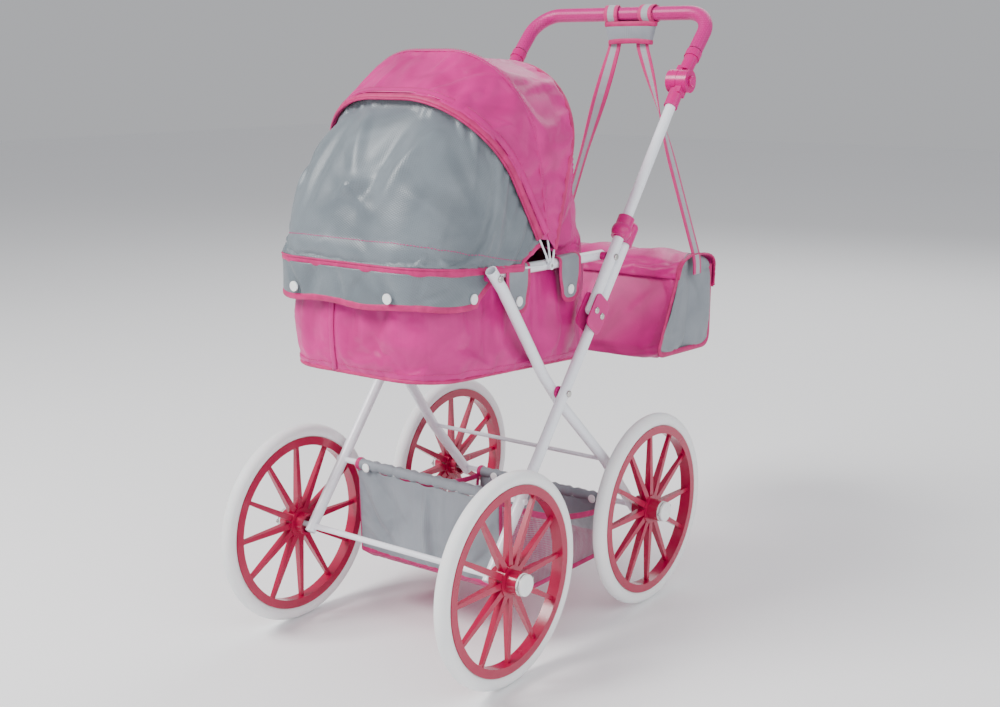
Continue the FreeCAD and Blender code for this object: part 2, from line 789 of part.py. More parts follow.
def handlePins():
    """The swivels' pins, and the pins that the cot's rail hangs on."""
    pins = []
    for name, side in sides:
        toOutside = Vector(side, 0, 0)
        pins.append(cylinder("dims.swivelPinDia / 2", "dims.swivelPinLength - 0.5",
                             aimed(spot(side * size("swivelPinInside"), swivel), toOutside)))
        pins.append(rivet(side, size("legHalf") - size("tubeDia") / 2, size("legHalf") + size("tubeDia") / 2,
                          railPivot, "dims.tubeDia"))
    keep(grouped(pins), "handle_rivets")


def foldLocks():
    """Caps that slide on the handle's tubes and hold the front legs' tops."""
    way = lineWay(size("handleLean"))
    legWay = lineWay(size("legLean"))
    for name, side in sides:
        middle = spot(side * size("legHalf"), foldPivot)
        sleeve = cylinder("dims.lockSleeveDia / 2", "dims.lockSleeveLength",
                          aimed(middle + way * size("lockSleeveAlong"), way))
        knob = ball("dims.lockKnobDia / 2", Placement(middle + way * size("lockKnobAlong"), Rotation()))
        top = spot(side * size("legHalf"), legTop)
        over = size("lockCapLength") - size("lockWeb")
        cap = cylinder("dims.lockCapDia / 2", "dims.lockCapLength",
                       aimed(top - legWay * size("lockWeb"), legWay))
        dome = ball("dims.lockCapDia / 2", Placement(top + legWay * over, Rotation()))
        between = middle + way * 98 + (top - middle - way * 110) * 0.5
        web = block("dims.lockWeb", "dims.lockWeb", "dims.lockWeb + 4", aimed(between, way))
        bores = [cylinder("dims.tubeDia / 2 + 0.1", "60", aimed(middle + way * 80, way)),
                 cylinder("dims.tubeDia / 2 + 0.5", "20", aimed(top - legWay * 19, legWay))]
        keep(cut(joined([sleeve, knob, cap, dome, web]), bores), f"fold_lock_{name}")


def grip():
    up = lineWay(size("gripLean"))
    place = sideFrame(spot(0, swivel) + up * size("gripTubeAlong"), size("gripLean"))
    keep(archTube("dims.legHalf", "dims.gripReach - dims.gripTubeAlong", "dims.gripCorner",
                  "dims.tubeDia / 2",
                  "dims.tubeDia / 2 - dims.tubeWall", place), "grip_tube")
    place = sideFrame(spot(0, swivel) + up * size("foamStart"), size("gripLean"))
    keep(archTube("dims.legHalf", "dims.gripReach - dims.foamStart", "dims.gripCorner",
                  "dims.foamDia / 2", "dims.tubeDia / 2 + dims.fit", place), "grip_cover")


# ---- the cot ----

def rail():
    base = along(railPivot, railLean, -size("railTail"))
    tube = archTube("dims.railHalf", "dims.railReach + dims.railTail", "dims.railCorner",
                    "dims.railDia / 2", "dims.railDia / 2 - dims.tubeWall",
                    sideFrame(spot(0, base), railLean))
    drills = [crossHole(0, point, rivetFit, wideCut) for point in (rearPivot, hoodPivot)]
    keep(cut(tube, drills), "cot_rail")


def railSpacers():
    """Short collars on the rail's rear ends, beside the handle's tubes."""
    collars = []
    for name, side in sides:
        start = size("railHalf") + size("railDia") / 2
        collars.append(cylinder("5", "dims.legHalf - dims.tubeDia / 2 - dims.railHalf"
                                     " - dims.railDia / 2 - dims.gap",
                                aimed(spot(side * start, railPivot), Vector(side, 0, 0))))
    keep(grouped(collars), "rail_spacers")


def hoodRivets():
    pins = []
    for name, side in sides:
        inner = size("railHalf") - size("railDia") / 2 - size("rivetTail")
        pins.append(cylinder("dims.rivetDia / 2", "dims.railDia + dims.rivetTail + 5.2",
                             aimed(spot(side * inner, hoodPivot), Vector(side, 0, 0))))
    keep(grouped(pins), "hood_rivets")


def cot():
    front = -size("tubFront")
    rear = size("tubRear")
    top = railPivot[1] - 2
    shells = []
    for inset in (0.0, size("cloth")):
        outline = [(front - 5, top + inset * 2), (rear + 5, top + inset * 2),
                   (rear + 5, size("tubRearFoot") + inset), (front - 5, size("tubFrontFoot") + inset)]
        plan = roundedPad(size("tubHalf") - inset, front + inset, rear - inset,
                          size("tubCorner") - inset, "300", Placement(Vector(0, 0, 200), Rotation()))
        shells.append(common(prism(outline, "2 * dims.tubHalf + 10"), plan))
    keep(cut(shells[0], [shells[1]]), "cot_tub")
    fall = size("tubFrontFoot") - size("tubRearFoot")
    tilt = math.degrees(math.atan2(-fall, rear - front + 10))
    middle = (front + rear) / 2
    lift = size("tubRearFoot") + fall / 2 + size("cloth") + size("gap")
    board = roundedPad(size("tubHalf") - 4, front + 5 - middle, rear - 5 - middle,
                       size("tubCorner") - 5, "dims.boardThick",
                       Placement(Vector(0, middle, lift), Rotation(across, tilt)))
    keep(board, "base_board")


tabSpots = (-81.0, 19.0)


def tabs():
    """Cloth tabs over the rail, and the snaps that close them."""
    plates = []
    snaps = []
    start = size("railHalf") + size("railDia") / 2 + 0.6
    for name, side in sides:
        for y in tabSpots:
            base = Vector(side * (start + size("tabThick") / 2), y, size("tabFoot"))
            plates.append(block("dims.tabThick", "dims.tabWidth", "dims.tabWidth",
                                Placement(base, Rotation())))
            seat = start + size("tabThick") + size("gap")
            button = Vector(side * seat, y, size("tabFoot") + size("snapDia"))
            snaps.append(cylinder("dims.snapDia / 2", "dims.snapThick", aimed(button, Vector(side, 0, 0))))
    keep(grouped(plates), "cot_tabs")
    keep(grouped(snaps), "tab_snaps")


# ---- the hood and the apron ----

bowLayers = (
    ("apron_bow", "apronAngle", "apronReach", "apronCorner", 0, 121.6),
    ("hood_front_bow", "frontAngle", "frontReach", "bowCorner", 1, 122.4),
    ("hood_middle_bow", "middleAngle", "middleReach", "bowCorner", 2, 123.2),
    ("hood_rear_bow", "rearAngle", "rearReach", "bowCorner", 3, 123.9),
)


def bows():
    """Wire arches that turn on one pivot line. Their flat eyes lie side by side along X."""
    foot = size("bowFoot")
    first = size("railHalf") + size("railDia") / 2 + size("gap")
    for label, angle, reach, corner, layer, half in bowLayers:
        lean = size(angle) - 90
        base = along(hoodPivot, lean, foot)
        wire = archTube(str(half), f"dims.{reach} - {foot}", f"dims.{corner}", "dims.bowDia / 2", None,
                        sideFrame(spot(0, base), lean))
        pieces = [wire]
        start = first + layer * (size("bowTab") + 0.2)
        for name, side in sides:
            edge = spot(side * start, hoodPivot)
            pieces.append(cylinder("dims.bowEyeDia / 2", "dims.bowTab", aimed(edge, Vector(side, 0, 0))))
            base = edge + Vector(side * size("bowTab") / 2, 0, 0) + lineWay(lean) * 3
            pieces.append(block("dims.bowTab", "2.6", "11.5", aimed(base, lineWay(lean))))
        keep(cut(joined(pieces), [crossHole(0, hoodPivot, rivetFit, wideCut)]), label)


def hood():
    clear = size("bowDia") / 2 + size("gap") + size("cloth") * 0.75
    half = size("hoodHalf")
    foot = size("hoodFoot")
    bend = size("bowCorner") + 3
    front = size("frontReach") + clear
    middle = size("middleReach") + clear
    rear = size("rearReach") + clear
    keep(fanShell([
        (size("frontAngle") - 1, half, front, bend, foot),
        (size("middleAngle"), half, middle, bend, foot),
        ((size("middleAngle") + size("rearAngle")) / 2, half, (middle + rear) / 2 + 2, bend, foot),
        (size("rearAngle"), half, rear, bend, foot),
    ]), "hood_cover")
    keep(fanShell([
        (size("rearAngle") + 1.5, half, rear, bend, foot),
        (size("rearAngle") + 34, 117.0, 186.0, 90.0, 30),
        (size("rearAngle") + 66, 107.0, 124.0, 55.0, 40),
    ]), "hood_curtain")


def apron():
    half = size("apronHalf")
    keep(fanShell([
        (size("apronAngle") + 1.6, half, size("apronReach") + 2, size("apronCorner"), 96),
        (size("apronAngle") + 26, half, 212.0, 76.0, 40),
        (size("frontAngle") + 4, half - 0.6, size("frontReach") - 4.5, 96.0, 30),
    ]), "apron_cover")
    body = doc.addObject("PartDesign::Body", "skirtBody")
    sketch = sketchOn(body, "XY_Plane")
    reach = -hoodPivot[0] + size("apronReach") + 3.4
    thinArch(sketch, size("skirtHalf"), reach, size("skirtCorner"), size("skirtTail"), size("cloth") * 0.75)
    pad = body.newObject("PartDesign::Pad", "pad")
    pad.Profile = sketch
    pad.setExpression("Length", "dims.skirtTall")
    body.Tip = pad
    body.Placement = Placement(Vector(0, 0, size("skirtFoot")), Rotation(Vector(0, 0, 1), 180))
    keep(body, "apron_skirt")
    snaps = []
    for x in (-66.0, 66.0):
        button = Vector(x, -reach - 0.1, size("skirtFoot") + 12)
        snaps.append(cylinder("dims.snapDia / 2", "dims.snapThick", aimed(button, Vector(0, -1, 0))))
    for side in (-1, 1):
        button = Vector(side * (size("skirtHalf") + 0.1), -size("skirtTail") - 10, size("skirtFoot") + 8)
        snaps.append(cylinder("dims.snapDia / 2", "dims.snapThick", aimed(button, Vector(side, 0, 0))))
    keep(grouped(snaps), "skirt_snaps")


# ---- the basket and the bag ----

basketLow = ((-90.0, 80.0), (-62.0, 60.0), (118.0, 57.0), (138.0, 74.0))


def basket():
    front = basketRodSpot
    rim = [(front[0] - 1, front[1] - 4.6), (rearAxle[0] - 4, rearAxle[1] - 5)]
    outer = [rim[0], *basketLow, rim[1]]
    wall = size("cloth")
    frontFoot, floorFront, floorRear, rearFoot = basketLow
    inner = [(rim[0][0] + wall, rim[0][1] + 3), (frontFoot[0] + wall, frontFoot[1] + 1),
             (floorFront[0] + 0.5, floorFront[1] + wall), (floorRear[0] - 0.5, floorRear[1] + wall),
             (rearFoot[0] - wall, rearFoot[1] + 1), (rim[1][0] - wall, rim[1][1] + 3)]
    keep(cut(prism(outer, "2 * dims.basketHalf"), [prism(inner, "2 * dims.basketHalf - 2 * dims.cloth")]),
         "basket")


bagTopFront = (297.0, 398.0)
bagTopRear = (381.0, 395.0)
bagLowFront = (243.0, 289.0)
bagLowRear = (380.0, 283.0)


def bag():
    wall = size("cloth")
    outer = [bagTopFront, bagLowFront, bagLowRear, bagTopRear]
    inner = [(bagTopFront[0] + wall + 1.5, bagTopFront[1] + 3),
             (bagLowFront[0] + wall + 1.5, bagLowFront[1] + wall),
             (bagLowRear[0] - wall, bagLowRear[1] + wall), (bagTopRear[0] - wall, bagTopRear[1] + 3)]
    keep(cut(prism(outer, "2 * dims.bagHalf - 2"), [prism(inner, "2 * dims.bagHalf - 2 - 2 * dims.cloth")]),
         "bag_body")
    thick = 2.0
    hinge = (bagTopFront[0] - 1, bagTopFront[1] + 0.6)
    edge = (bagTopRear[0] + 0.6, bagTopRear[1] + 0.6)
    tip = bagTopRear[1] - 29
    flap = [hinge, edge, (edge[0], tip), (edge[0] + thick, tip), (edge[0] + thick - 0.2, edge[1] + thick),
            (hinge[0], hinge[1] + thick + 0.2)]
    keep(prism(flap, "2 * dims.bagHalf"), "bag_flap")


strapSpots = ((1, 41.0), (-1, -15.0))


def straps():
    """Webbing that rises from the bag's ends to the grip and loops round it."""
    pieces = []
    for side, barX in strapSpots:
        low = Vector(side * (size("bagHalf") + 1.4), size("strapBack") + 1, size("strapFoot"))
        bend = Vector(side * (size("bagHalf") + 1.4), size("strapBack"), size("strapBend"))
        gathered = Vector(barX, gripBar[0] - 1.0, size("padFoot") - 2.5)
        high = spot(barX, gripBar) + Vector(0, -1.0, -10.2)
        loopPlace = aimed(spot(barX - size("strapWidth") / 2, gripBar), across)
        loop = cut(cylinder("dims.foamDia / 2 + dims.strapThick + 0.2", "dims.strapWidth", loopPlace),
                   [cylinder("dims.foamDia / 2 + 0.2", "dims.strapWidth", loopPlace)])
        runs = [loop]
        for start, end, flat in ((low, bend, False), (bend, gathered, False), (gathered, high, True)):
            run = end - start
            breadth, through = size("strapWidth"), size("strapThick")
            if not flat:
                breadth, through = through, breadth
            bar = doc.addObject("Part::Box", "run")
            bind(bar, Length=str(breadth), Width=str(through))
            bar.Height = run.Length
            bar.Placement = aimed(start, run).multiply(
                Placement(Vector(-breadth / 2, -through / 2, 0), Rotation()))
            runs.append(bar)
        pieces.append(joined(runs))
    keep(grouped(pieces), "bag_straps")
    middle = sum(barX for side, barX in strapSpots) / 2
    faces = [block("dims.padWidth", "dims.padThick", "dims.padTall",
                   Placement(Vector(middle, gripBar[0] - 1 + away, size("padFoot")), Rotation()))
             for away in (-2.6, 2.6)]
    keep(grouped(faces), "strap_pad")


for build in (frontLegs, brackets, rods, frameRivets, rearLegs, pivotSpacers, rearRivets, wheels, axleCaps,
              handleTubes, swivels, handlePins, foldLocks, grip, rail, railSpacers, hoodRivets, cot, tabs,
              bows, hood, apron, basket, bag, straps):
    build()
doc.recompute()

faults = [item.Label for item in doc.Objects if {"Invalid", "Error"} & set(item.State)]
faults += [item.Label for item in nodes if item.Shape.isNull() or not item.Shape.isValid()]
if faults:
    raise RuntimeError("failed: " + ", ".join(faults))
os.makedirs("parts", exist_ok=True)
for item in nodes:
    item.Shape.exportStep(f"parts/{item.Label}.step")
    print(f"{item.Label}: {item.Shape.Volume / 1000:.1f} cm3, {len(item.Shape.Solids)} solid")
for label, point in (("frontAxle", frontAxle), ("rearAxle", rearAxle), ("crossPivot", crossPivot),
                     ("foldPivot", foldPivot), ("railPivot", railPivot), ("rearPivot", rearPivot),
                     ("swivel", swivel), ("gripBar", gripBar), ("hoodPivot", hoodPivot),
                     ("legTop", legTop)):
    print(label, round(point[0], 3), round(point[1], 3))
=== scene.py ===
import json
import math

import bmesh
import bpy
from mathutils import Matrix, Vector


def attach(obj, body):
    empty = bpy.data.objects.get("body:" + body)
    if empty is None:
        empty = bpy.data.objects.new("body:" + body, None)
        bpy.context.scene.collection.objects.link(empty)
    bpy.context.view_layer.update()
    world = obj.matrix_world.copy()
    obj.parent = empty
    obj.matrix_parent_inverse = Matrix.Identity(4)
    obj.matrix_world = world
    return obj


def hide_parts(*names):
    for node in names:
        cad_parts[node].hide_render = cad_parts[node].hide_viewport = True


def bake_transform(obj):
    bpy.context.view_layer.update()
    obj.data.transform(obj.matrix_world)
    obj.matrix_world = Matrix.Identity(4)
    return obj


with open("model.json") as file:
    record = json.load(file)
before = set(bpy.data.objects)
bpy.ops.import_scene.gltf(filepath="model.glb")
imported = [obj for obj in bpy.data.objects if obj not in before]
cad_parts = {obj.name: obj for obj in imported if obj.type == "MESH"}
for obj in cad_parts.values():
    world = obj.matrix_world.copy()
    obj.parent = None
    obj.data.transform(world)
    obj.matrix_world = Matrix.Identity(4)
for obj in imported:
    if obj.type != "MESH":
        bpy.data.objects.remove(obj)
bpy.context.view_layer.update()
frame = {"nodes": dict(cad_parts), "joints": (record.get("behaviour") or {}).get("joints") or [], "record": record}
nodes = frame["nodes"]


def jointSpot(name):
    return Vector([joint for joint in frame["joints"] if joint["name"] == name][0]["pos_m"])


def mm(x, y, z):
    return Vector((x, y, z)) / 1000


hoodPivot = jointSpot("hood_fold") * 1000
gripBar = jointSpot("bag_swing") * 1000

wayX, wayY, wayZ = Vector((1, 0, 0)), Vector((0, 1, 0)), Vector((0, 0, 1))

view = {"spot": (0.95493, -1.23407, 0.66561), "turn": 36.653, "fall": 12.671, "lens": 48.23, "shiftY": 0.006}

lamps = {
    "key": {"spot": (-1.0, -1.7, 2.2), "width": 1.1, "power": 92, "tint": (1.0, 0.99, 0.97)},
    "fill": {"spot": (2.0, -1.4, 1.5), "width": 2.2, "power": 30, "tint": (0.97, 0.98, 1.0)},
    "side": {"spot": (2.4, 0.4, 1.2), "width": 1.8, "power": 16, "tint": (1.0, 1.0, 1.0)},
    "back": {"spot": (-0.4, 2.4, 2.2), "width": 2.0, "power": 34, "tint": (1.0, 1.0, 1.0)},
}


def placeCamera():
    camera = bpy.data.objects.new("camera", bpy.data.cameras.new("camera"))
    bpy.context.scene.collection.objects.link(camera)
    camera.location = view["spot"]
    camera.rotation_euler = (math.radians(90 - view["fall"]), 0, math.radians(view["turn"]))
    camera.data.lens = view["lens"]
    camera.data.shift_y = view["shiftY"]
    camera.data.clip_end = 40
    bpy.context.scene.camera = camera


lampAim = 0.35


def placeLamps():
    for name, told in lamps.items():
        lamp = bpy.data.objects.new(name, bpy.data.lights.new(name, "AREA"))
        bpy.context.scene.collection.objects.link(lamp)
        lamp.location = told["spot"]
        toward = Vector((0, 0, lampAim)) - Vector(told["spot"])
        lamp.rotation_euler = toward.to_track_quat("-Z", "Y").to_euler()
        lamp.data.size = told["width"]
        lamp.data.energy = told["power"]
        lamp.data.color = told["tint"]
    sky = bpy.data.worlds.new("sky")
    sky.use_nodes = True
    sky.node_tree.nodes["Background"].inputs["Color"].default_value = (0.95, 0.96, 1.0, 1)
    sky.node_tree.nodes["Background"].inputs["Strength"].default_value = 0.52
    bpy.context.scene.world = sky


def toLinear(code):
    parts = [int(code[at:at + 2], 16) / 255 for at in (0, 2, 4)]
    return tuple(p / 12.92 if p < 0.04045 else ((p + 0.055) / 1.055) ** 2.4 for p in parts) + (1.0,)


def addNode(material, kind, settings=None, links=None):
    node = material.node_tree.nodes.new(kind)
    for key, value in (settings or {}).items():
        if isinstance(key, int) or key in node.inputs:
            node.inputs[key].default_value = value
        else:
            setattr(node, key, value)
    for key, source in (links or {}).items():
        material.node_tree.links.new(source, node.inputs[key])
    return node


def blank(name):
    material = bpy.data.materials.new(name)
    material.use_nodes = True
    material.node_tree.nodes.clear()
    return material


def closeWith(material, settings, links):
    shader = addNode(material, "ShaderNodeBsdfPrincipled", settings, links)
    addNode(material, "ShaderNodeOutputMaterial", links={"Surface": shader.outputs["BSDF"]})
    return material


# Powder coat, injection moulded plastic, EVA foam and plated steel: all smooth skins that differ in colour,
# gloss and the size of their fine texture. grain is the texture's size and mottle the colour drift's, in mm.
hardSkins = {
    "powderCoat": {"light": "F2F5FA", "dark": "E4E8F0", "grain": 1.4, "depth": 0.02, "mottle": 60,
                   "shader": {"Roughness": 0.27, "Coat Weight": 0.35, "Coat Roughness": 0.12}},
    "pinkPolypropylene": {"light": "D00A82", "dark": "B8066C", "grain": 0.9, "depth": 0.015, "mottle": 14,
                          "shader": {"Roughness": 0.3, "Subsurface Weight": 0.08, "Subsurface Scale": 0.002}},
    "crimsonAbs": {"light": "B00040", "dark": "980036", "grain": 1.2, "depth": 0.012, "mottle": 22,
                   "shader": {"Roughness": 0.24, "Coat Weight": 0.3, "Coat Roughness": 0.1}},
    "evaFoam": {"light": "F1F2F2", "dark": "E5E7E8", "grain": 1.1, "depth": 0.05, "mottle": 30,
                "shader": {"Roughness": 0.62, "Subsurface Weight": 0.06, "Subsurface Scale": 0.003}},
    "whiteAcetal": {"light": "F4F5F5", "dark": "E9ECEC", "grain": 0.8, "depth": 0.012, "mottle": 9,
                    "shader": {"Roughness": 0.3, "Subsurface Weight": 0.1, "Subsurface Scale": 0.002}},
    "nickelPlate": {"light": "D9D8D4", "dark": "BDBBB6", "grain": 0.6, "depth": 0.02, "mottle": 5,
                    "shader": {"Roughness": 0.2, "Metallic": 1.0}},
    "springSteel": {"light": "C9C8C6", "dark": "A5A4A2", "grain": 0.5, "depth": 0.02, "mottle": 4,
                    "shader": {"Roughness": 0.26, "Metallic": 1.0}},
    "flutedBoard": {"light": "E4E5E4", "dark": "D2D4D3", "grain": 3.0, "depth": 0.1, "mottle": 20,
                    "shader": {"Roughness": 0.55}},
    "sewingThread": {"light": "D01F80", "dark": "B6126A", "grain": 0.5, "depth": 0.05, "mottle": 3,
                     "shader": {"Roughness": 0.6}},
}


def hardSkin(name):
    told = hardSkins[name]
    material = blank(name)
    place = addNode(material, "ShaderNodeTexCoord").outputs["Object"]
    driftAndCreaseShade = addNode(material, "ShaderNodeTexNoise", {"Scale": 1000 / told["mottle"], "Detail": 3.0},
                    {"Vector": place})
    tone = addNode(material, "ShaderNodeMix", {"data_type": "RGBA", 6: toLinear(told["light"]),
                                               7: toLinear(told["dark"])}, {0: driftAndCreaseShade.outputs["Fac"]})
    texture = addNode(material, "ShaderNodeTexNoise", {"Scale": 1000 / told["grain"], "Detail": 2.0},
                      {"Vector": place})
    relief = addNode(material, "ShaderNodeBump", {"Strength": 0.5, "Distance": told["depth"] / 1000},
                     {"Height": texture.outputs["Fac"]})
    base = told["shader"]["Roughness"]
    gloss = addNode(material, "ShaderNodeMapRange", {"To Min": base - 0.05, "To Max": base + 0.07},
                    {"Value": driftAndCreaseShade.outputs["Fac"]})
    settings = {key: value for key, value in told["shader"].items() if key != "Roughness"}
    return closeWith(material, settings, {"Base Color": tone.outputs[2], "Roughness": gloss.outputs["Result"],
                                          "Normal": relief.outputs["Normal"]})


# Foam vinyl, blown and embossed: a soft satin skin with a grid of small pips that the hand feels.
gripSkin = {"light": "D01888", "dark": "A80A64", "pip": 2.6, "depth": 0.35, "roughness": 0.42}


def foamVinyl():
    material = blank("foamVinyl")
    place = addNode(material, "ShaderNodeTexCoord").outputs["Object"]
    pips = addNode(material, "ShaderNodeTexVoronoi", {"Scale": 1000 / gripSkin["pip"], "Randomness": 0.25},
                   {"Vector": place})
    # painted shade between the pips: the colour is light on the raised pips and darker in the hollows between them
    tone = addNode(material, "ShaderNodeMix", {"data_type": "RGBA", 6: toLinear(gripSkin["light"]),
                                               7: toLinear(gripSkin["dark"])}, {0: pips.outputs["Distance"]})
    relief = addNode(material, "ShaderNodeBump", {"Strength": 0.7, "Distance": gripSkin["depth"] / 1000,
                                                  "invert": True}, {"Height": pips.outputs["Distance"]})
    return closeWith(material, {"Roughness": gripSkin["roughness"]},
                     {"Base Color": tone.outputs[2], "Normal": relief.outputs["Normal"]})


# Woven nylon, coated on the back: a plain weave with a soft sheen and shallow creases. The real thread is
# 0.3 mm, too fine to show, so it is drawn coarser. thread is its spacing and crease the creases' size, in mm.
# light and dark are a lit and a shaded copy of each cloth's colour, painted across the creases as shade.
weaves = {
    "pinkNylon": {"light": "D20C86", "dark": "B40570", "thread": 1.2, "depth": 0.10, "crease": 42,
                  "creaseDepth": 2.0, "roughness": 0.42, "cells": False},
    "darkPinkNylon": {"light": "BE0D70", "dark": "A0075A", "thread": 1.2, "depth": 0.10, "crease": 36,
                      "creaseDepth": 1.0, "roughness": 0.5, "cells": False},
    "greyNylon": {"light": "767F86", "dark": "636C73", "thread": 2.3, "depth": 0.16, "crease": 46,
                  "creaseDepth": 2.2, "roughness": 0.38, "cells": True},
    "greyOxford": {"light": "8E949B", "dark": "7C838A", "thread": 1.3, "depth": 0.12, "crease": 50,
                   "creaseDepth": 1.5, "roughness": 0.55, "cells": False},
    "pinkTape": {"light": "C80E70", "dark": "AC085C", "thread": 1.0, "depth": 0.14, "crease": 12,
                 "creaseDepth": 0.5, "roughness": 0.52, "cells": False},
    "netYarn": {"light": "C9CDD1", "dark": "B4B9BE", "thread": 0.9, "depth": 0.05, "crease": 20,
                "creaseDepth": 0.2, "roughness": 0.5, "cells": False},
}


def wovenCloth(name):
    told = weaves[name]
    material = blank(name)
    spots = addNode(material, "ShaderNodeTexCoord")
    wave = 314 / told["thread"]
    turns = (0, 60, 120) if told["cells"] else (0, 90)  # three sets of ridges meet in six-sided cells
    height = None
    for turn in turns:
        turned = addNode(material, "ShaderNodeMapping", {"Rotation": (0, 0, math.radians(turn))},
                         {"Vector": spots.outputs["UV"]})
        ridge = addNode(material, "ShaderNodeTexWave", {"Scale": wave, "Distortion": 0.25, "Detail": 1.0},
                        {"Vector": turned.outputs["Vector"]}).outputs["Fac"]
        height = ridge if height is None else addNode(material, "ShaderNodeMath", {"operation": "ADD"},
                                                      {0: height, 1: ridge}).outputs[0]
    creases = addNode(material, "ShaderNodeTexNoise", {"Scale": 1000 / told["crease"], "Detail": 4.0,
                                                       "Roughness": 0.45, "Distortion": 0.6},
                      {"Vector": spots.outputs["Object"]})
    # the crease noise also sets the colour between light and dark: painted shade across the creases
    driftAndCreaseShade = addNode(material, "ShaderNodeMapRange", {"From Min": 0.3, "From Max": 0.7},
                    {"Value": creases.outputs["Fac"]})
    tone = addNode(material, "ShaderNodeMix", {"data_type": "RGBA", 6: toLinear(told["light"]),
                                               7: toLinear(told["dark"])}, {0: driftAndCreaseShade.outputs["Result"]})
    # painted shade in the weave: the colour is darker where the threads dip and lighter on their raised tops
    paintedWeaveShade = addNode(material, "ShaderNodeMapRange", {"From Max": float(len(turns)), "To Min": 0.86,
                                                     "To Max": 1.1}, {"Value": height})
    shade = addNode(material, "ShaderNodeVectorMath", {"operation": "SCALE"},
                    {0: tone.outputs[2], "Scale": paintedWeaveShade.outputs["Result"]})
    weaveRelief = addNode(material, "ShaderNodeBump", {"Strength": 0.45, "Distance": told["depth"] / 1000},
                          {"Height": height})
    relief = addNode(material, "ShaderNodeBump", {"Strength": 0.35, "Distance": told["creaseDepth"] / 1000},
                     {"Height": creases.outputs["Fac"], "Normal": weaveRelief.outputs["Normal"]})
    return closeWith(material,
                     {"Roughness": told["roughness"], "Sheen Weight": 0.08, "Sheen Roughness": 0.35},
                     {"Base Color": shade.outputs[0], "Normal": relief.outputs["Normal"]})


# Webbing with a bound edge each side: grey in the middle and pink along the edges, by the strap's own width.
webbing = {"grey": "A0A6AB", "pink": "C80F72", "width": 20.0, "edge": 5.2, "rib": 1.6, "depth": 0.2}


def boundWebbing():
    material = blank("boundWebbing")
    across = addNode(material, "ShaderNodeSeparateXYZ", links={
        0: addNode(material, "ShaderNodeTexCoord").outputs["UV"]})
    ribs = addNode(material, "ShaderNodeMath", {"operation": "SINE"}, {
        0: addNode(material, "ShaderNodeMath", {"operation": "MULTIPLY", 1: 6283 / webbing["rib"]},
                   {0: across.outputs["Y"]}).outputs[0]})
    off = addNode(material, "ShaderNodeMath", {"operation": "SUBTRACT", 1: webbing["width"] / 2000},
                  {0: across.outputs["X"]})
    away = addNode(material, "ShaderNodeMath", {"operation": "ABSOLUTE"}, {0: off.outputs[0]})
    rim = addNode(material, "ShaderNodeMath", {"operation": "GREATER_THAN",
                                               1: (webbing["width"] / 2 - webbing["edge"]) / 1000},
                  {0: away.outputs[0]})
    tone = addNode(material, "ShaderNodeMix", {"data_type": "RGBA", 6: toLinear(webbing["grey"]),
                                               7: toLinear(webbing["pink"])}, {0: rim.outputs[0]})
    lift = addNode(material, "ShaderNodeMath", {"operation": "MULTIPLY_ADD", 1: 3.0},
                   {0: rim.outputs[0], 2: ribs.outputs[0]})
    relief = addNode(material, "ShaderNodeBump", {"Strength": 0.6, "Distance": webbing["depth"] / 1000},
                     {"Height": lift.outputs[0]})
    return closeWith(material, {"Roughness": 0.55, "Sheen Weight": 0.2},
                     {"Base Color": tone.outputs[2], "Normal": relief.outputs["Normal"]})


finish = {name: hardSkin(name) for name in hardSkins}
finish.update({name: wovenCloth(name) for name in weaves})
finish["foamVinyl"] = foamVinyl()
finish["boundWebbing"] = boundWebbing()

nodeFinish = {
    "white_tube": "powderCoat", "white_rod": "powderCoat", "pink_plastic": "pinkPolypropylene",
    "wheel_plastic": "crimsonAbs", "tyre_foam": "evaFoam", "cap_plastic": "whiteAcetal",
    "rivet_steel": "nickelPlate", "spring_wire": "springSteel", "bow_wire": "powderCoat",
    "grip_vinyl": "foamVinyl", "board": "flutedBoard", "snap_plastic": "whiteAcetal",
}


def finishNodes():
    for part in frame["record"]["subparts"]:
        chosen = nodeFinish.get(part["material_slot"])
        if chosen:
            mesh = nodes[part["node"]].data
            mesh.materials.clear()
            mesh.materials.append(finish[chosen])


def keepPiece(made, name, material):
    mesh = bpy.data.meshes.new(name)
    made.to_mesh(mesh)
    made.free()
    for face in mesh.polygons:
        face.use_smooth = True
    mesh.materials.append(finish[material])
    piece = bpy.data.objects.new(name, mesh)
    bpy.context.scene.collection.objects.link(piece)
    return piece


def runLength(spots):
    return sum((b - a).length for a, b in zip(spots, spots[1:]))


sheets = {}


def clothSheet(name, columns, rows, place, material):
    made = bmesh.new()
    bmesh.ops.create_grid(made, x_segments=columns, y_segments=rows, size=0.5)
    made.verts.ensure_lookup_table()
    lattice = {}
    shares = []
    for vert in made.verts:
        share = (vert.co.x + 0.5, vert.co.y + 0.5)
        shares.append(share)
        lattice[round(share[0] * columns), round(share[1] * rows)] = vert.index
        vert.co = place(*share)
    width = max(runLength([made.verts[lattice[i, j]].co for i in range(columns + 1)])
                for j in range(0, rows + 1, max(1, rows // 8)))
    length = max(runLength([made.verts[lattice[i, j]].co for j in range(rows + 1)])
                 for i in range(0, columns + 1, max(1, columns // 8)))
    layer = made.loops.layers.uv.new("cut")
    for face in made.faces:
        for corner in face.loops:
            share = shares[corner.vert.index]
            corner[layer].uv = (share[0] * width, share[1] * length)
    area = min(sum(face.calc_area() for face in made.faces), width * length)
    piece = keepPiece(made, name, material)
    sheets[name] = {"lattice": lattice, "size": (columns, rows), "cut": (width, length), "area": area}
    return piece


foldGain = 1.5  # how much prouder a fold stands than its stated height


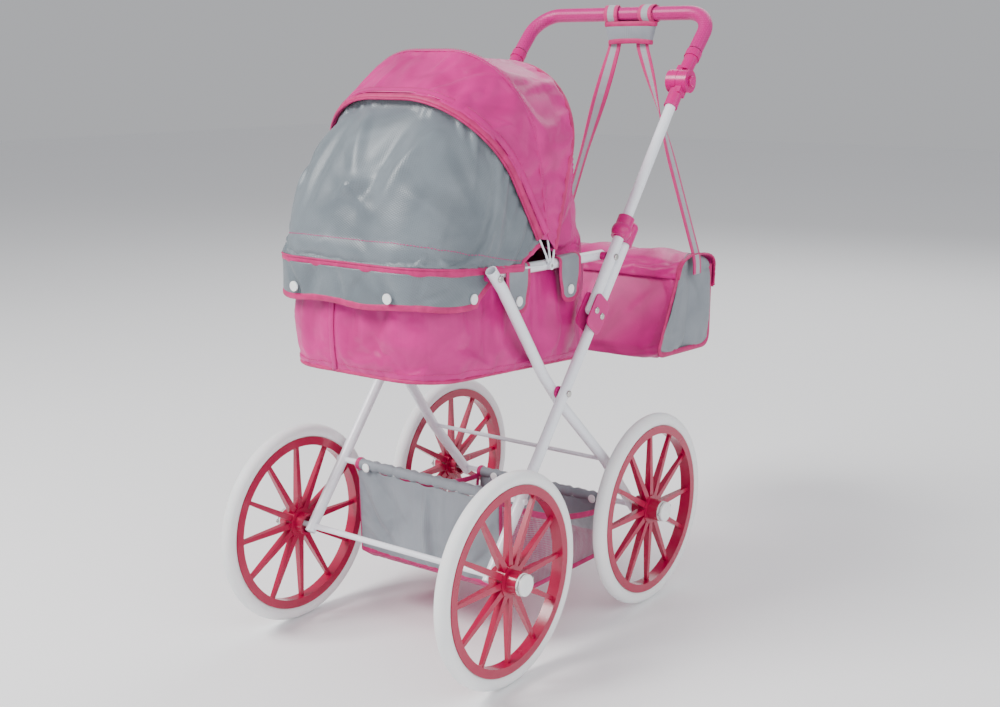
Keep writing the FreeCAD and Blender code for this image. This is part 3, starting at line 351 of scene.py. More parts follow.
def folded(folds, u, w, wide, tall):
    # soft folds, each from one share of the sheet to another: (u, w, u, w, breadth, height), both in mm
    total = 0.0
    for u1, w1, u2, w2, breadth, height in folds:
        a, b = Vector((u1 * wide, w1 * tall)), Vector((u2 * wide, w2 * tall))
        spot = Vector((u * wide, w * tall))
        share = min(1.0, max(0.0, (spot - a).dot(b - a) / (b - a).length_squared))
        away = (spot - a.lerp(b, share)).length
        rise = math.exp(-(away / breadth) ** 2) * math.sin(math.pi * (0.12 + 0.8 * share))
        total += foldGain * height * rise
    return total


def sideRun(piece, side, inset=0):
    # the spots along one side of a sheet, and beside each the way into the cloth
    lattice, (columns, rows) = sheets[piece.name]["lattice"], sheets[piece.name]["size"]
    spots = [vert.co.copy() for vert in piece.data.vertices]
    keys = {
        "foot": [((i, inset), (i, inset + 1)) for i in range(columns + 1)],
        "head": [((i, rows - inset), (i, rows - inset - 1)) for i in range(columns + 1)],
        "start": [((inset, j), (inset + 1, j)) for j in range(rows + 1)],
        "end": [((columns - inset, j), (columns - inset - 1, j)) for j in range(rows + 1)],
    }[side]
    run = [spots[lattice[a]] for a, b in keys]
    return run, [(spots[lattice[b]] - spots[lattice[a]]).normalized() for a, b in keys]


def settle(piece, sides, told):
    # lets the cloth fall and crease between the sides that are sewn down
    lattice, (columns, rows) = sheets[piece.name]["lattice"], sheets[piece.name]["size"]
    sewn = [index for (i, j), index in lattice.items()
            if ("foot" in sides and j == 0) or ("head" in sides and j == rows)
            or ("start" in sides and i == 0) or ("end" in sides and i == columns)]
    piece.vertex_groups.new(name="sewn").add(sewn, 1, "REPLACE")
    before = [vert.co.copy() for vert in piece.data.vertices]
    cloth = piece.modifiers.new("cloth", "CLOTH")
    chosen = cloth.settings
    chosen.vertex_group_mass = "sewn"
    chosen.quality = 7
    chosen.mass = 0.12
    chosen.tension_stiffness = told.get("pull", 30)
    chosen.compression_stiffness = told.get("pull", 30)
    chosen.shear_stiffness = told.get("pull", 30) / 2
    chosen.bending_stiffness = told.get("bend", 0.4)
    chosen.shrink_min = -told.get("slack", 0.02)
    chosen.effector_weights.gravity = told.get("gravity", 0.4)
    if told.get("push"):
        chosen.use_pressure = True
        chosen.uniform_pressure_force = told["push"]
    cloth.collision_settings.use_collision = False
    frames = told.get("frames", 26)
    cloth.point_cache.frame_start, cloth.point_cache.frame_end = 1, frames
    for at in range(1, frames + 1):
        bpy.context.scene.frame_set(at)
    shaped = piece.evaluated_get(bpy.context.evaluated_depsgraph_get())
    after = [vert.co.copy() for vert in shaped.data.vertices]
    piece.modifiers.remove(cloth)
    limit = told.get("limit", 8) / 1000
    for vert, old, new in zip(piece.data.vertices, before, after):
        way = new - old
        vert.co = old + way * min(1.0, limit / max(way.length, 1e-9))
    bpy.context.scene.frame_set(1)


def giveThickness(piece, thickness, offset=0.0):
    wall = piece.modifiers.new("thickness", "SOLIDIFY")
    wall.thickness = thickness / 1000
    wall.offset = offset
    wall.use_even_offset = False
    return piece


def hold(piece, body, replaced=(), bent=None):
    if bent:
        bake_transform(piece)
    else:
        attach(piece, body)
    if replaced:
        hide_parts(*replaced)
    return piece


def tape(name, spots, ways, width, thick, material, lap=0.5, closed=False, sides=14):
    # a flat tape or roll that runs along spots. Its width lies along ways, and lap is the share of it beyond
    made = bmesh.new()
    rings = []
    count = len(spots)
    for at, (spot, way) in enumerate(zip(spots, ways)):
        if closed:
            ahead = (spots[(at + 1) % count] - spots[at - 1]).normalized()
        else:
            ahead = (spots[min(at + 1, count - 1)] - spots[max(at - 1, 0)]).normalized()
        flat = (way - ahead * way.dot(ahead)).normalized()
        up = ahead.cross(flat)
        centre = spot + flat * width * (0.5 - lap) / 1000
        turn = Matrix((flat * width / 2000, up * thick / 2000, ahead / 1000)).transposed().to_4x4()
        ring = bmesh.ops.create_circle(made, segments=sides, radius=1.0,
                                       matrix=Matrix.Translation(centre) @ turn)["verts"]
        rings.append(ring)
    edges = [list({edge for vert in ring for edge in vert.link_edges}) for ring in rings]
    pairs = list(zip(edges, edges[1:])) + ([(edges[-1], edges[0])] if closed else [])
    for first, second in pairs:
        bmesh.ops.bridge_loops(made, edges=first + second)
    if not closed:
        for ring in (edges[0], edges[-1]):
            bmesh.ops.holes_fill(made, edges=ring, sides=sides)
    bmesh.ops.recalc_face_normals(made, faces=made.faces)
    layer = made.loops.layers.uv.new("cut")
    for face in made.faces:
        for corner in face.loops:
            spot = corner.vert.co
            corner[layer].uv = (spot.x + spot.y, spot.z + spot.y * 0.3)
    return keepPiece(made, name, material)


def stitches(name, runs, pitch, length, material, thick=0.7):
    # runs are lists of spots. Each stitch is a short bead that lies along its run
    made = bmesh.new()
    for spots in runs:
        gone, due = 0.0, pitch / 2
        for a, b in zip(spots, spots[1:]):
            step = (b - a).length * 1000
            while step > 0 and due <= gone + step:
                centre = a.lerp(b, (due - gone) / step)
                turn = (b - a).to_track_quat("Z", "Y").to_matrix().to_4x4()
                scale = Matrix.Diagonal((thick / 2000, thick / 2000, length / 2000, 1))
                bmesh.ops.create_uvsphere(made, u_segments=6, v_segments=5, radius=1.0,
                                          matrix=Matrix.Translation(centre) @ turn @ scale)
                due += pitch
            gone += step
    return keepPiece(made, name, material)


def softened(corners, cut, steps=6):
    # the corners of a run of spots, each rounded off by cut
    spots = [corners[0]]
    for before, corner, after in zip(corners, corners[1:], corners[2:]):
        reach = min(cut, (before - corner).length / 2.05, (after - corner).length / 2.05)
        a = corner + (before - corner).normalized() * reach
        b = corner + (after - corner).normalized() * reach
        for at in range(steps + 1):
            t = at / steps
            spots.append(a.lerp(corner, t).lerp(corner.lerp(b, t), t))
    return spots + [corners[-1]]


def spotAlong(spots, share):
    due = share * runLength(spots)
    for a, b in zip(spots, spots[1:]):
        step = (b - a).length
        if due <= step and step > 0:
            return a.lerp(b, due / step)
        due -= step
    return spots[-1].copy()


def evenShares(count):
    return [at / count for at in range(count + 1)]


def evenly(spots, count):
    return [spotAlong(spots, share) for share in evenShares(count)]


def ease(t):
    t = min(max(t, 0.0), 1.0)
    return t * t * (3 - 2 * t)


def archSpot(share, half, reach, corner, foot):
    # an arch that starts foot up one leg, goes round over the top and comes down the other: (x, distance up)
    leg, bend, top = reach - corner - foot, corner * math.pi / 2, half - corner
    run = share * 2 * (leg + bend + top)
    side = 1
    if run > leg + bend + top:
        run, side = 2 * (leg + bend + top) - run, -1
    if run < leg:
        return side * half, foot + run
    if run < leg + bend:
        turn = (run - leg) / corner
        return side * (half - corner + corner * math.cos(turn)), reach - corner + corner * math.sin(turn)
    return side * (half - corner - (run - leg - bend)), reach


def fanned(x, away, angle):
    turn = math.radians(angle)
    return mm(x, hoodPivot.y - away * math.cos(turn), hoodPivot.z + away * math.sin(turn))


def loopSpot(share, half, front, rear, corner):
    # a rounded rectangle seen from above, from the middle of its front: (x, y, way out x, way out y)
    bend = corner * math.pi / 2
    parts = [(half - corner, 0), (bend, 1), (rear - front - 2 * corner, 0), (bend, 1),
             (2 * (half - corner), 0), (bend, 1), (rear - front - 2 * corner, 0), (bend, 1),
             (half - corner, 0)]
    run = (share % 1.0) * sum(part[0] for part in parts)
    spot, ahead = Vector((0, front)), Vector((1, 0))
    for length, turned in parts:
        inward = Vector((-ahead.y, ahead.x))
        if turned:
            centre = spot + inward * corner
            turn = min(run, length) / corner
            arm = Matrix.Rotation(turn, 2) @ (spot - centre)
            if run <= length:
                out = arm.normalized()
                return centre.x + arm.x, centre.y + arm.y, out.x, out.y
            spot, ahead = centre + arm, Matrix.Rotation(math.pi / 2, 2) @ ahead
        else:
            if run <= length:
                spot = spot + ahead * run
                return spot.x, spot.y, -inward.x, -inward.y
            spot = spot + ahead * length
        run -= length
    return 0.0, front, 0.0, -1.0


# The hood: two pink panels over three wire bows, a rim band, and a gathered curtain behind.
hoodShape = {"half": 125.6, "corner": 103, "front": (56.0, 224.0, 38.0), "middle": (77.0, 238.2, 30.0),
             "rear": (106.0, 228.2, 18.0), "puff": 2.5, "rimWidth": 8.4, "rimThick": 5.6, "facing": 9.5,
             "rimLean": 66}


hoodFolds = {
    "front": (
        (0.10, 0.1, 0.24, 0.9, 9, -2.6), (0.2, 0.05, 0.31, 0.8, 8, -2.2), (0.36, 0.1, 0.44, 0.9, 10, -2.4),
        (0.52, 0.1, 0.5, 0.8, 9, 2.0), (0.6, 0.1, 0.68, 0.9, 9, -2.4), (0.78, 0.1, 0.86, 0.9, 9, -2.2)),
    "middle": (
        (0.08, 0.9, 0.2, 0.1, 8, -2.4), (0.16, 0.9, 0.3, 0.1, 8, -2.2), (0.3, 0.95, 0.36, 0.1, 9, -2.2),
        (0.45, 0.9, 0.5, 0.1, 9, 1.8), (0.62, 0.9, 0.58, 0.1, 9, -2.0), (0.8, 0.9, 0.72, 0.1, 8, -2.2)),
}


def bowSpot(share, bow, lift=0.0):
    angle, reach, foot = hoodShape[bow]
    x, away = archSpot(share, hoodShape["half"] + min(lift, 0.4), reach + lift, hoodShape["corner"],
                       foot)
    return fanned(x, away, angle)


def panelSpot(share, along, first, second):
    spot = bowSpot(share, first).lerp(bowSpot(share, second), along)
    out = (spot - hoodPivot / 1000)
    out.x = 0
    puff = hoodShape["puff"] * 4 * along * (1 - along) * math.sin(math.pi * share) ** 0.5
    puff += folded(hoodFolds[second], share, along, 560, 90) * math.sin(math.pi * along)
    return spot + out.normalized() * puff / 1000


def bowWays(count, start, end):
    return [(bowSpot(share, end) - bowSpot(share, start)).normalized() for share in evenShares(count)]


def makeHood():
    front = clothSheet("hood_front_panel", 150, 26, lambda u, w: panelSpot(u, w, "middle", "front"),
                       "pinkNylon")
    settle(front, "foot head start end", {"slack": 0.012, "gravity": 0.1, "limit": 4, "bend": 0.6})
    rear = clothSheet("hood_rear_panel", 150, 30, lambda u, w: panelSpot(u, w, "rear", "middle"), "pinkNylon")
    settle(rear, "foot head start end", {"slack": 0.016, "gravity": 0.1, "limit": 5, "bend": 0.6})
    middleTop, frontTop, rearTop = (bowSpot(0.5, bow) for bow in ("middle", "front", "rear"))
    for panel in (front, rear):
        giveThickness(panel, 0.8)
    hold(front, None, ["hood_cover"],
         ("hood_middle", "hood_front", middleTop, frontTop))
    hold(rear, None, (),
         ("hood_rear", "hood_middle", rearTop, middleTop))

    shares = [0.004 + 0.992 * at / 150 for at in range(151)]
    reach, foot = hoodShape["front"][1:]
    rim = [bowSpot(share, "front", -1.2) for share in shares]
    leaning = [fanned(*archSpot(share, hoodShape["half"], reach, hoodShape["corner"], foot),
                      hoodShape["rimLean"]) for share in shares]
    across = [(lean - spot).normalized() for lean, spot in zip(leaning, rim)]
    roll = tape("hood_rim", rim, across, hoodShape["rimWidth"], hoodShape["rimThick"], "pinkTape", lap=0.45)
    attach(roll, "hood_front")
    lip = tape("hood_rim_piping", [spot - way * 0.0048 for spot, way in zip(rim, across)], across, 2.6, 2.6,
               "pinkTape", sides=10)
    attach(lip, "hood_front")

    behind = [spot + way * 0.0092 + (spot - hoodPivot / 1000).normalized() * 0.0022
              for spot, way in zip(rim, across)]
    facing = tape("hood_facing", behind, across, hoodShape["facing"], 2.2, "pinkNylon")
    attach(facing, "hood_front")
    rows = [[spot + way * off / 1000 + (spot - hoodPivot / 1000).normalized() * 0.0012
             for spot, way in zip(behind, across)] for off in (-3.4, 3.4)]
    thread = stitches("hood_rim_stitches", rows, 3.2, 2.2, "sewingThread")
    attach(thread, "hood_front")

    seam = [bowSpot(share, "middle", 0.9) for share in evenShares(240)]
    ways = bowWays(240, "middle", "front")
    sewn = [[spot + way * off / 1000 for spot, way in zip(seam, ways)] for off in (-2.2, 2.2)]
    thread = stitches("hood_seam_stitches", sewn, 3.4, 2.3, "sewingThread")
    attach(thread, "hood_middle")
    ridge = tape("hood_seam", [bowSpot(share, "middle", 0.1) for share in evenShares(150)],
                 bowWays(150, "middle", "front"), 3.6, 1.8, "pinkNylon")
    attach(ridge, "hood_middle")
    back = tape("hood_back_binding", [bowSpot(share, "rear", -0.2) for share in evenShares(150)],
                bowWays(150, "rear", "middle"), 7.0, 3.4, "pinkTape")
    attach(back, "hood_rear")


curtainShape = {"stages": ((106.5, 125.0, 227.5, 102.0, 18.0), (138.0, 101.0, 156.0, 84.0, 24.0),
                           (181.0, 107.0, 126.0, 56.0, 40.0)), "pleats": 21, "depth": 7.0}


def curtainSpot(u, w):
    low, mid, high = curtainShape["stages"]
    first, second, t = (low, mid, w / 0.48) if w < 0.48 else (mid, high, (w - 0.48) / 0.52)
    angle, half, reach, corner, foot = (a + (b - a) * t for a, b in zip(first, second))
    x, away = archSpot(u, half, reach, corner, foot)
    fade = math.sin(math.pi * u) ** 0.4
    fold = math.sin(2 * math.pi * curtainShape["pleats"] * (u + 0.006 * math.sin(23 * u)))
    depth = curtainShape["depth"] * (0.15 + 0.85 * w ** 1.4) * fade
    return fanned(x, away - depth * (1 + fold) * 0.5, angle)


def makeCurtain():
    curtain = clothSheet("hood_curtain_cloth", 220, 40, curtainSpot, "pinkNylon")
    settle(curtain, "foot head start end", {"slack": 0.02, "gravity": 0.3, "limit": 5, "bend": 0.3})
    hem, ways = sideRun(curtain, "head")
    giveThickness(curtain, 0.7)
    hold(curtain, None, ["hood_curtain"],
         ("cot", "hood_rear", curtainSpot(0.5, 1), curtainSpot(0.5, 0)))
    binding = tape("hood_curtain_binding", hem[::2], ways[::2], 7.0, 2.4, "pinkTape", lap=0.3)
    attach(binding, "cot")


# The apron: a grey front cover on its own bow, and a grey skirt with snaps below it.
apronShape = {"bow": (4.0, 205.0, 63.0, 121.6), "bandFoot": 50.0, "seamAt": 0.15, "puff": 3.0,
              "stages": ((5.2, 121.2, 206.6, 63.0, 54.0), (28.0, 121.0, 212.0, 74.0, 36.0),
                         (56.5, 120.4, 218.5, 97.0, 28.0))}
apronFolds = (
    (0.05, 0.12, 0.30, 0.66, 9, 3.8), (0.05, 0.10, 0.37, 0.44, 8, 3.0), (0.06, 0.30, 0.22, 0.9, 8, -3.4),
    (0.12, 0.2, 0.34, 0.9, 9, -3.0), (0.34, 0.96, 0.42, 0.34, 11, 4.2), (0.42, 0.92, 0.49, 0.22, 12, -4.4),
    (0.55, 0.96, 0.50, 0.44, 10, 4.6), (0.58, 0.9, 0.63, 0.25, 12, -4.0), (0.64, 0.9, 0.74, 0.24, 12, 4.4),
    (0.72, 0.92, 0.66, 0.4, 9, -3.2), (0.82, 0.8, 0.94, 0.2, 12, 3.4), (0.44, 0.30, 0.56, 0.52, 8, 3.2),
    (0.45, 0.54, 0.57, 0.30, 8, 3.0), (0.22, 0.02, 0.3, 0.15, 7, 2.2), (0.4, 0.02, 0.46, 0.16, 7, -2.2),
    (0.6, 0.02, 0.54, 0.16, 7, 2.2), (0.76, 0.02, 0.7, 0.15, 7, -2.0))


def apronSpot(u, w):
    low, mid, high = apronShape["stages"]
    first, second, t = (low, mid, w / 0.45) if w < 0.45 else (mid, high, (w - 0.45) / 0.55)
    angle, half, reach, corner, foot = (a + (b - a) * t for a, b in zip(first, second))
    x, away = archSpot(u, half, reach, corner, foot)
    below = max(0.0, 1 - w / apronShape["seamAt"])  # the strip below the seam stands out in a soft roll
    away += apronShape["puff"] * 4 * below * (1 - below) * math.sin(math.pi * u)
    away += folded(apronFolds, u, w, 560, 190) * math.sin(math.pi * min(1, u * 5, 5 - u * 5) / 2) * (
        math.sin(math.pi * w) ** 0.5)
    return fanned(x, away, angle)


def makeApron():
    cover = clothSheet("apron_cloth", 170, 76, apronSpot, "greyNylon")
    settle(cover, "foot head start end", {"slack": 0.03, "gravity": 0.3, "limit": 6, "bend": 0.3})
    seamRow = round(apronShape["seamAt"] * 76)
    seam, ways = sideRun(cover, "foot", seamRow)
    ends = {side: sideRun(cover, side) for side in ("start", "end")}
    giveThickness(cover, 0.8)
    hold(cover, "apron", ["apron_cover"])
    middle = hoodPivot / 1000
    outward = [spot + (spot - middle).normalized() * 0.0006 for spot in seam]
    thread = stitches("apron_seam_stitches", [outward], 3.6, 2.9, "sewingThread", thick=0.9)
    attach(thread, "apron")
    for side, (spots, inward) in ends.items():
        edge = tape("apron_edge_" + side, spots[::2], inward[::2], 6.0, 2.2, "pinkTape", lap=0.3)
        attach(edge, "apron")

    angle, reach, corner, half = apronShape["bow"]
    bow = [fanned(*archSpot(share, half, reach, corner, apronShape["bandFoot"]), angle)
           for share in evenShares(150)]
    band = tape("apron_band", bow, [wayZ] * len(bow), 8.6, 4.6, "pinkTape")
    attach(band, "apron")
    above = [spot + mm(0, 0, 3.6) + (spot - middle).normalized() * 0.0018 for spot in bow]
    piping = tape("apron_piping", above, [wayZ] * len(bow), 2.2, 2.2, "pinkTape", sides=10)
    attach(piping, "apron")
    makeSkirt()


skirtShape = {"half": 122.4, "reach": 228.6, "corner": 66.0, "top": 440.0, "drop": 26.0, "start": 124.0,
              "slant": 30.0}


skirtFolds = (
    (0.14, 0.1, 0.24, 1.0, 7, -2.4), (0.26, 0.0, 0.22, 0.9, 6, -2.0), (0.36, 0.1, 0.30, 1.0, 7, -2.2),
    (0.40, 0.0, 0.47, 0.8, 7, -2.6), (0.52, 0.1, 0.49, 1.0, 6, -1.8), (0.58, 0.0, 0.64, 0.9, 7, -2.4),
    (0.70, 0.1, 0.67, 1.0, 6, -2.0), (0.78, 0.0, 0.86, 0.9, 7, -2.2))


def skirtSpot(u, w):
    told = skirtShape
    foot = told["start"] + told["slant"] * ease(w) ** 1.2
    x, away = archSpot(u, told["half"], told["reach"], told["corner"], foot)
    climb = (away + hoodPivot.y) * math.tan(math.radians(apronShape["bow"][0]))
    ripple = folded(skirtFolds, u, w, 480, 26) + 0.5 * w * math.sin(31 * u + 1.0)
    ripple = min(0.9, ripple)
    sagged = told["drop"] + climb * 0.85 + 1.6 * math.sin(19 * u)
    outward = 1 + (0.6 + ripple) / away
    return mm(x * (1 + (0.2 + 0.4 * ripple) / 123), -away * outward, told["top"] + climb - w * sagged)


def makeSkirt():
    skirt = clothSheet("apron_skirt_cloth", 150, 18, skirtSpot, "greyNylon")
    sides = {side: sideRun(skirt, side) for side in ("head", "start", "end")}
    giveThickness(skirt, 0.8)
    hold(skirt, "apron", ["apron_skirt"])
    for side, (spots, inward) in sides.items():
        edge = tape("skirt_binding_" + side, spots, inward, 7.0, 2.0, "pinkTape", lap=0.25)
        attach(edge, "apron")


# The cot: a pink fabric tub, its floor, and the grey tabs that hang it from the rail.
tubShape = {"half": 105.0, "front": -212.0, "rear": 104.0, "corner": 52.0, "top": 437.0, "frontFoot": 339.0,
            "rearFoot": 319.0, "bulge": 6.5, "join": -0.022}


tubFolds = (
    (0.03, 0.1, 0.02, 0.95, 7, -3.0), (0.07, 0.9, 0.09, 0.3, 9, 2.6), (0.11, 0.95, 0.10, 0.45, 8, -2.4),
    (0.15, 0.1, 0.17, 0.9, 10, 2.8), (0.20, 0.9, 0.19, 0.35, 8, -2.6), (0.24, 0.1, 0.22, 0.7, 9, 2.2),
    (0.28, 0.9, 0.30, 0.4, 9, -2.6), (0.34, 0.1, 0.32, 0.9, 10, 2.6), (0.39, 0.9, 0.40, 0.3, 9, -2.4),
    (0.47, 0.1, 0.46, 0.9, 10, 2.4), (0.55, 0.9, 0.56, 0.3, 9, -2.4), (0.62, 0.1, 0.64, 0.9, 10, 2.4),
    (0.70, 0.9, 0.69, 0.3, 9, -2.6), (0.78, 0.1, 0.76, 0.9, 10, 2.6), (0.85, 0.9, 0.86, 0.3, 9, -2.6),
    (0.92, 0.1, 0.91, 0.9, 9, 2.4), (0.965, 0.9, 0.97, 0.2, 8, -2.4))


def tubSpot(u, w, inset=0.0):
    told = tubShape
    x, y, outX, outY = loopSpot(u + told["join"], told["half"] - inset, told["front"] + inset,
                                told["rear"] - inset, told["corner"] - inset * 0.8)
    foot = told["frontFoot"] + (told["rearFoot"] - told["frontFoot"]) * (y - told["front"]) / (
        told["rear"] - told["front"])
    swell = told["bulge"] * math.sin(math.pi * min(1.0, w * 0.82 + 0.05)) if not inset else 0.0
    swell *= 1.0 if outY < 0.3 else 0.55
    swell += 0.0 if inset else folded(tubFolds, u, w, 760, 108) * math.sin(math.pi * min(1, w * 1.1))
    return mm(x + outX * swell * 0.55, y + outY * swell, told["top"] + (foot - told["top"]) * w)


def tubFloorSpot(u, w):
    inset = tubShape["corner"] * 0.97 * w
    spot = tubSpot(u, 1.0, inset) if w > 0 else tubSpot(u, 1.0)
    return spot - mm(0, 0, 2.5 * math.sin(math.pi * min(1, w * 1.6)))


def makeCot():
    wall = clothSheet("cot_cloth", 260, 34, tubSpot, "pinkNylon")
    settle(wall, "foot head start end",
           {"slack": 0.022, "gravity": 0.3, "limit": 6, "bend": 0.3, "frames": 30})
    foot, ways = sideRun(wall, "head")
    top, topWays = sideRun(wall, "foot")
    low, lowWays = sideRun(wall, "head", 3)
    giveThickness(wall, 0.8)
    hold(wall, "cot", ["cot_tub"])
    floorSheet = giveThickness(clothSheet("cot_floor", 130, 12, tubFloorSpot, "darkPinkNylon"), 0.8)
    hold(floorSheet, "cot")
    piping = tape("cot_piping", foot[:-1], ways[:-1], 4.4, 3.4, "pinkTape", closed=True)
    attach(piping, "cot")
    rim = tape("cot_rim_binding", top[:-1], topWays[:-1], 6.0, 2.4, "pinkTape", lap=0.3, closed=True)
    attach(rim, "cot")
    middleY = (tubShape["front"] + tubShape["rear"]) / 2000
    sewn = [spot + Vector((spot.x, spot.y - middleY, 0)).normalized() * 0.0008 for spot in low]
    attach(stitches("cot_stitches", [sewn], 3.6, 2.5, "sewingThread"), "cot")
    seam = [tubSpot(0.0, at / 30) + mm(0, -1.0, 0) for at in range(31)]
    pleat = tape("cot_front_seam", seam, [wayX] * 31, 7.0, 2.6, "pinkNylon", lap=0.9)
    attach(pleat, "cot")


tabShape = {"at": (-81.0, 19.0), "half": 21.0, "foot": 397.0, "narrow": 0.27}


def makeTabs():
    told = tabShape
    for name, side in (("left", 1), ("right", -1)):
        for number, middle in enumerate(told["at"]):
            railZ = hoodPivot.z - 0.018 * (middle - hoodPivot.y)
            way = softened([Vector((105.6, 0, railZ - 6)), Vector((105.8, 0, railZ + 7.2)),
                            Vector((121.8, 0, railZ + 7.2)), Vector((121.9, 0, told["foot"]))], 6.0)

            def tabSpot(u, w):
                spot = spotAlong(way, w)
                narrow = 1 - told["narrow"] * ease((w - 0.5) / 0.5)
                y = (u - 0.5) * 2 * told["half"] * narrow
                # the tongue's end is rounded: its corners stop short of the tip
                rise = 8.0 * abs((u - 0.5) * 2) ** 3 * ease((w - 0.6) / 0.4)
                return mm(side * (spot.x + 0.5 * math.sin(3 * u + 5 * w)), middle + y, spot.z + rise)

            tab = clothSheet(f"cot_tab_{name}_{number}", 18, 40, tabSpot, "greyOxford")
            edges = [sideRun(tab, "start"), sideRun(tab, "head"), sideRun(tab, "end")]
            giveThickness(tab, 0.8)
            hold(tab, "cot", ["cot_tabs"])
            spots = edges[0][0] + edges[1][0][1:-1] + edges[2][0][::-1]
            ways = edges[0][1] + edges[1][1][1:-1] + edges[2][1][::-1]
            edge = tape(f"cot_tab_binding_{name}_{number}", spots, ways, 5.4, 2.0, "pinkTape", lap=0.3)
            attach(edge, "cot")


# The basket: grey cloth front, rear and hems, net sides and a pink floor.
basketShape = {"half": 105.5, "rod": (-91.6, 189.5), "rear": (147.5, 120.0), "frontFoot": (-90.0, 80.0),
               "floor": ((-62.0, 60.5), (118.0, 57.5)), "rearFoot": (138.0, 74.0), "sag": 17.0, "snap": 5.5,
               "hem": 6.0, "bendFront": (-95, 160), "bendRear": (140, 100)}


def basketTop(share):
    rod, rear = basketShape["rod"], basketShape["rear"]
    y = rod[0] - 1 + (rear[0] - 4 - rod[0]) * share
    z = rod[1] - 5 + (rear[1] + 1 - rod[1]) * share - basketShape["sag"] * math.sin(math.pi * share) ** 0.8
    return y, z


basketLow = softened([Vector((0, *basketShape["frontFoot"])), Vector((0, *basketShape["floor"][0])),
                      Vector((0, *basketShape["floor"][1])), Vector((0, *basketShape["rearFoot"]))], 16)


basketFolds = (
    (0.5, 0.02, 0.51, 0.98, 4, 4.2), (0.53, 0.02, 0.56, 0.98, 9, -3.4), (0.03, 0.02, 0.3, 0.8, 8, 3.2),
    (0.1, 0.02, 0.42, 0.6, 7, -2.4), (0.97, 0.02, 0.72, 0.75, 8, 3.0), (0.9, 0.05, 0.62, 0.55, 7, -2.2),
    (0.2, 0.98, 0.3, 0.5, 8, -2.0), (0.8, 0.98, 0.72, 0.5, 8, 2.0))


def basketFront(u, w):
    rod, foot = basketShape["rod"], basketShape["frontFoot"]
    x = (u - 0.5) * 2 * basketShape["half"]
    billow = 4.5 * math.sin(math.pi * w) * math.sin(math.pi * u) ** 0.6
    billow += folded(basketFolds, u, w, 210, 108) * math.sin(math.pi * w) ** 0.4
    dip = 3.0 * math.sin(math.pi * u) * (1 - w) + 1.2 * math.sin(41 * u) * (1 - w) ** 2
    y = rod[0] - 2.5 + (foot[0] - rod[0] + 2) * w - billow
    return mm(x, y, rod[1] - 5 - dip + (foot[1] - rod[1] + 5) * w)


def basketRear(u, w):
    rear, foot = basketShape["rear"], basketShape["rearFoot"]
    x = (u - 0.5) * 2 * (basketShape["half"] - 1)
    dip = 1.5 * math.sin(math.pi * u) * (1 - w) + 1.0 * math.sin(37 * u) * (1 - w) ** 2
    return mm(x, rear[0] - 2 + (foot[0] - rear[0] + 2) * w + 2.0 * math.sin(math.pi * w),
              rear[1] - 4 - dip + (foot[1] - rear[1] + 4) * w)


def basketFloor(u, w):
    spot = spotAlong(basketLow, w)
    return mm((u - 0.5) * 2 * (basketShape["half"] - 0.5), spot.y, spot.z - 2.0 * math.sin(math.pi * u))


def hemSpot(rod, u, w, radius):
    gather = 0.55 * math.sin(68 * u) + 0.45 * math.sin(111 * u + 1)
    turn = 2 * math.pi * w
    return mm((u - 0.5) * 2 * (basketShape["half"] - 1), rod[0] + (radius + gather) * math.sin(turn),
              rod[1] - 0.7 + (radius + gather) * math.cos(turn))


def makeBasket():
    told = basketShape
    blended = ("front_frame", "rear_frame", mm(0, *told["bendFront"]), mm(0, *told["bendRear"]))
    front = clothSheet("basket_front", 90, 44, basketFront, "greyOxford")
    settle(front, "foot head start end", {"slack": 0.014, "gravity": 0.3, "limit": 5, "bend": 0.4})
    rear = clothSheet("basket_rear", 80, 18, basketRear, "greyOxford")
    settle(rear, "foot head start end", {"slack": 0.014, "gravity": 0.3, "limit": 4, "bend": 0.4})
    floorSheet = clothSheet("basket_floor", 70, 70, basketFloor, "darkPinkNylon")
    settle(floorSheet, "foot head start end", {"slack": 0.012, "gravity": 0.4, "limit": 4, "bend": 0.4})
    edges = {"front": sideRun(front, "head"), "rear": sideRun(rear, "head")}
    for sheet in (front, rear, floorSheet):
        giveThickness(sheet, 0.8)
    hold(front, None, ["basket"], blended)
    hold(rear, None, (), blended)
    hold(floorSheet, None, (), blended)
    for label, (spots, ways) in edges.items():
        edge = tape(f"basket_{label}_binding", spots, ways, 6.5, 2.2, "pinkTape", lap=0.4)
        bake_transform(edge)
    for label, rod, body in (("front", told["rod"], "front_frame"), ("rear", told["rear"], "rear_frame")):
        hem = clothSheet(f"basket_{label}_hem", 120, 16, lambda u, w: hemSpot(rod, u, w, told["hem"]),
                         "greyOxford")
        giveThickness(hem, 0.7)
        hold(hem, body)
        for side in (1, -1):
            spots = [hemSpot(rod, 0.5 + side * 0.5, at / 24, told["hem"] + 0.4) for at in range(24)]
            end = tape(f"basket_{label}_hem_end_{'left' if side > 0 else 'right'}", spots,
                       [wayX] * 24, 6.0, 2.4, "pinkTape", closed=True)
            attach(end, body)
    for label, rod, out, body in (("front", told["rod"], 90.0, "front_frame"),
                                  ("rear", told["rear"], 78.0, "rear_frame")):
        made = bmesh.new()
        for side in (1, -1):
            place = Matrix.Translation(mm(side * out, rod[0] - 7.3, rod[1] - 2))
            bmesh.ops.create_uvsphere(made, u_segments=24, v_segments=12, radius=told["snap"] / 1000,
                                      matrix=place @ Matrix.Diagonal((1, 0.3, 1, 1)))
        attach(keepPiece(made, f"basket_snaps_{label}", "whiteAcetal"), body)
    for label, side in (("left", 1), ("right", -1)):
        makeBasketSide(label, side, blended)


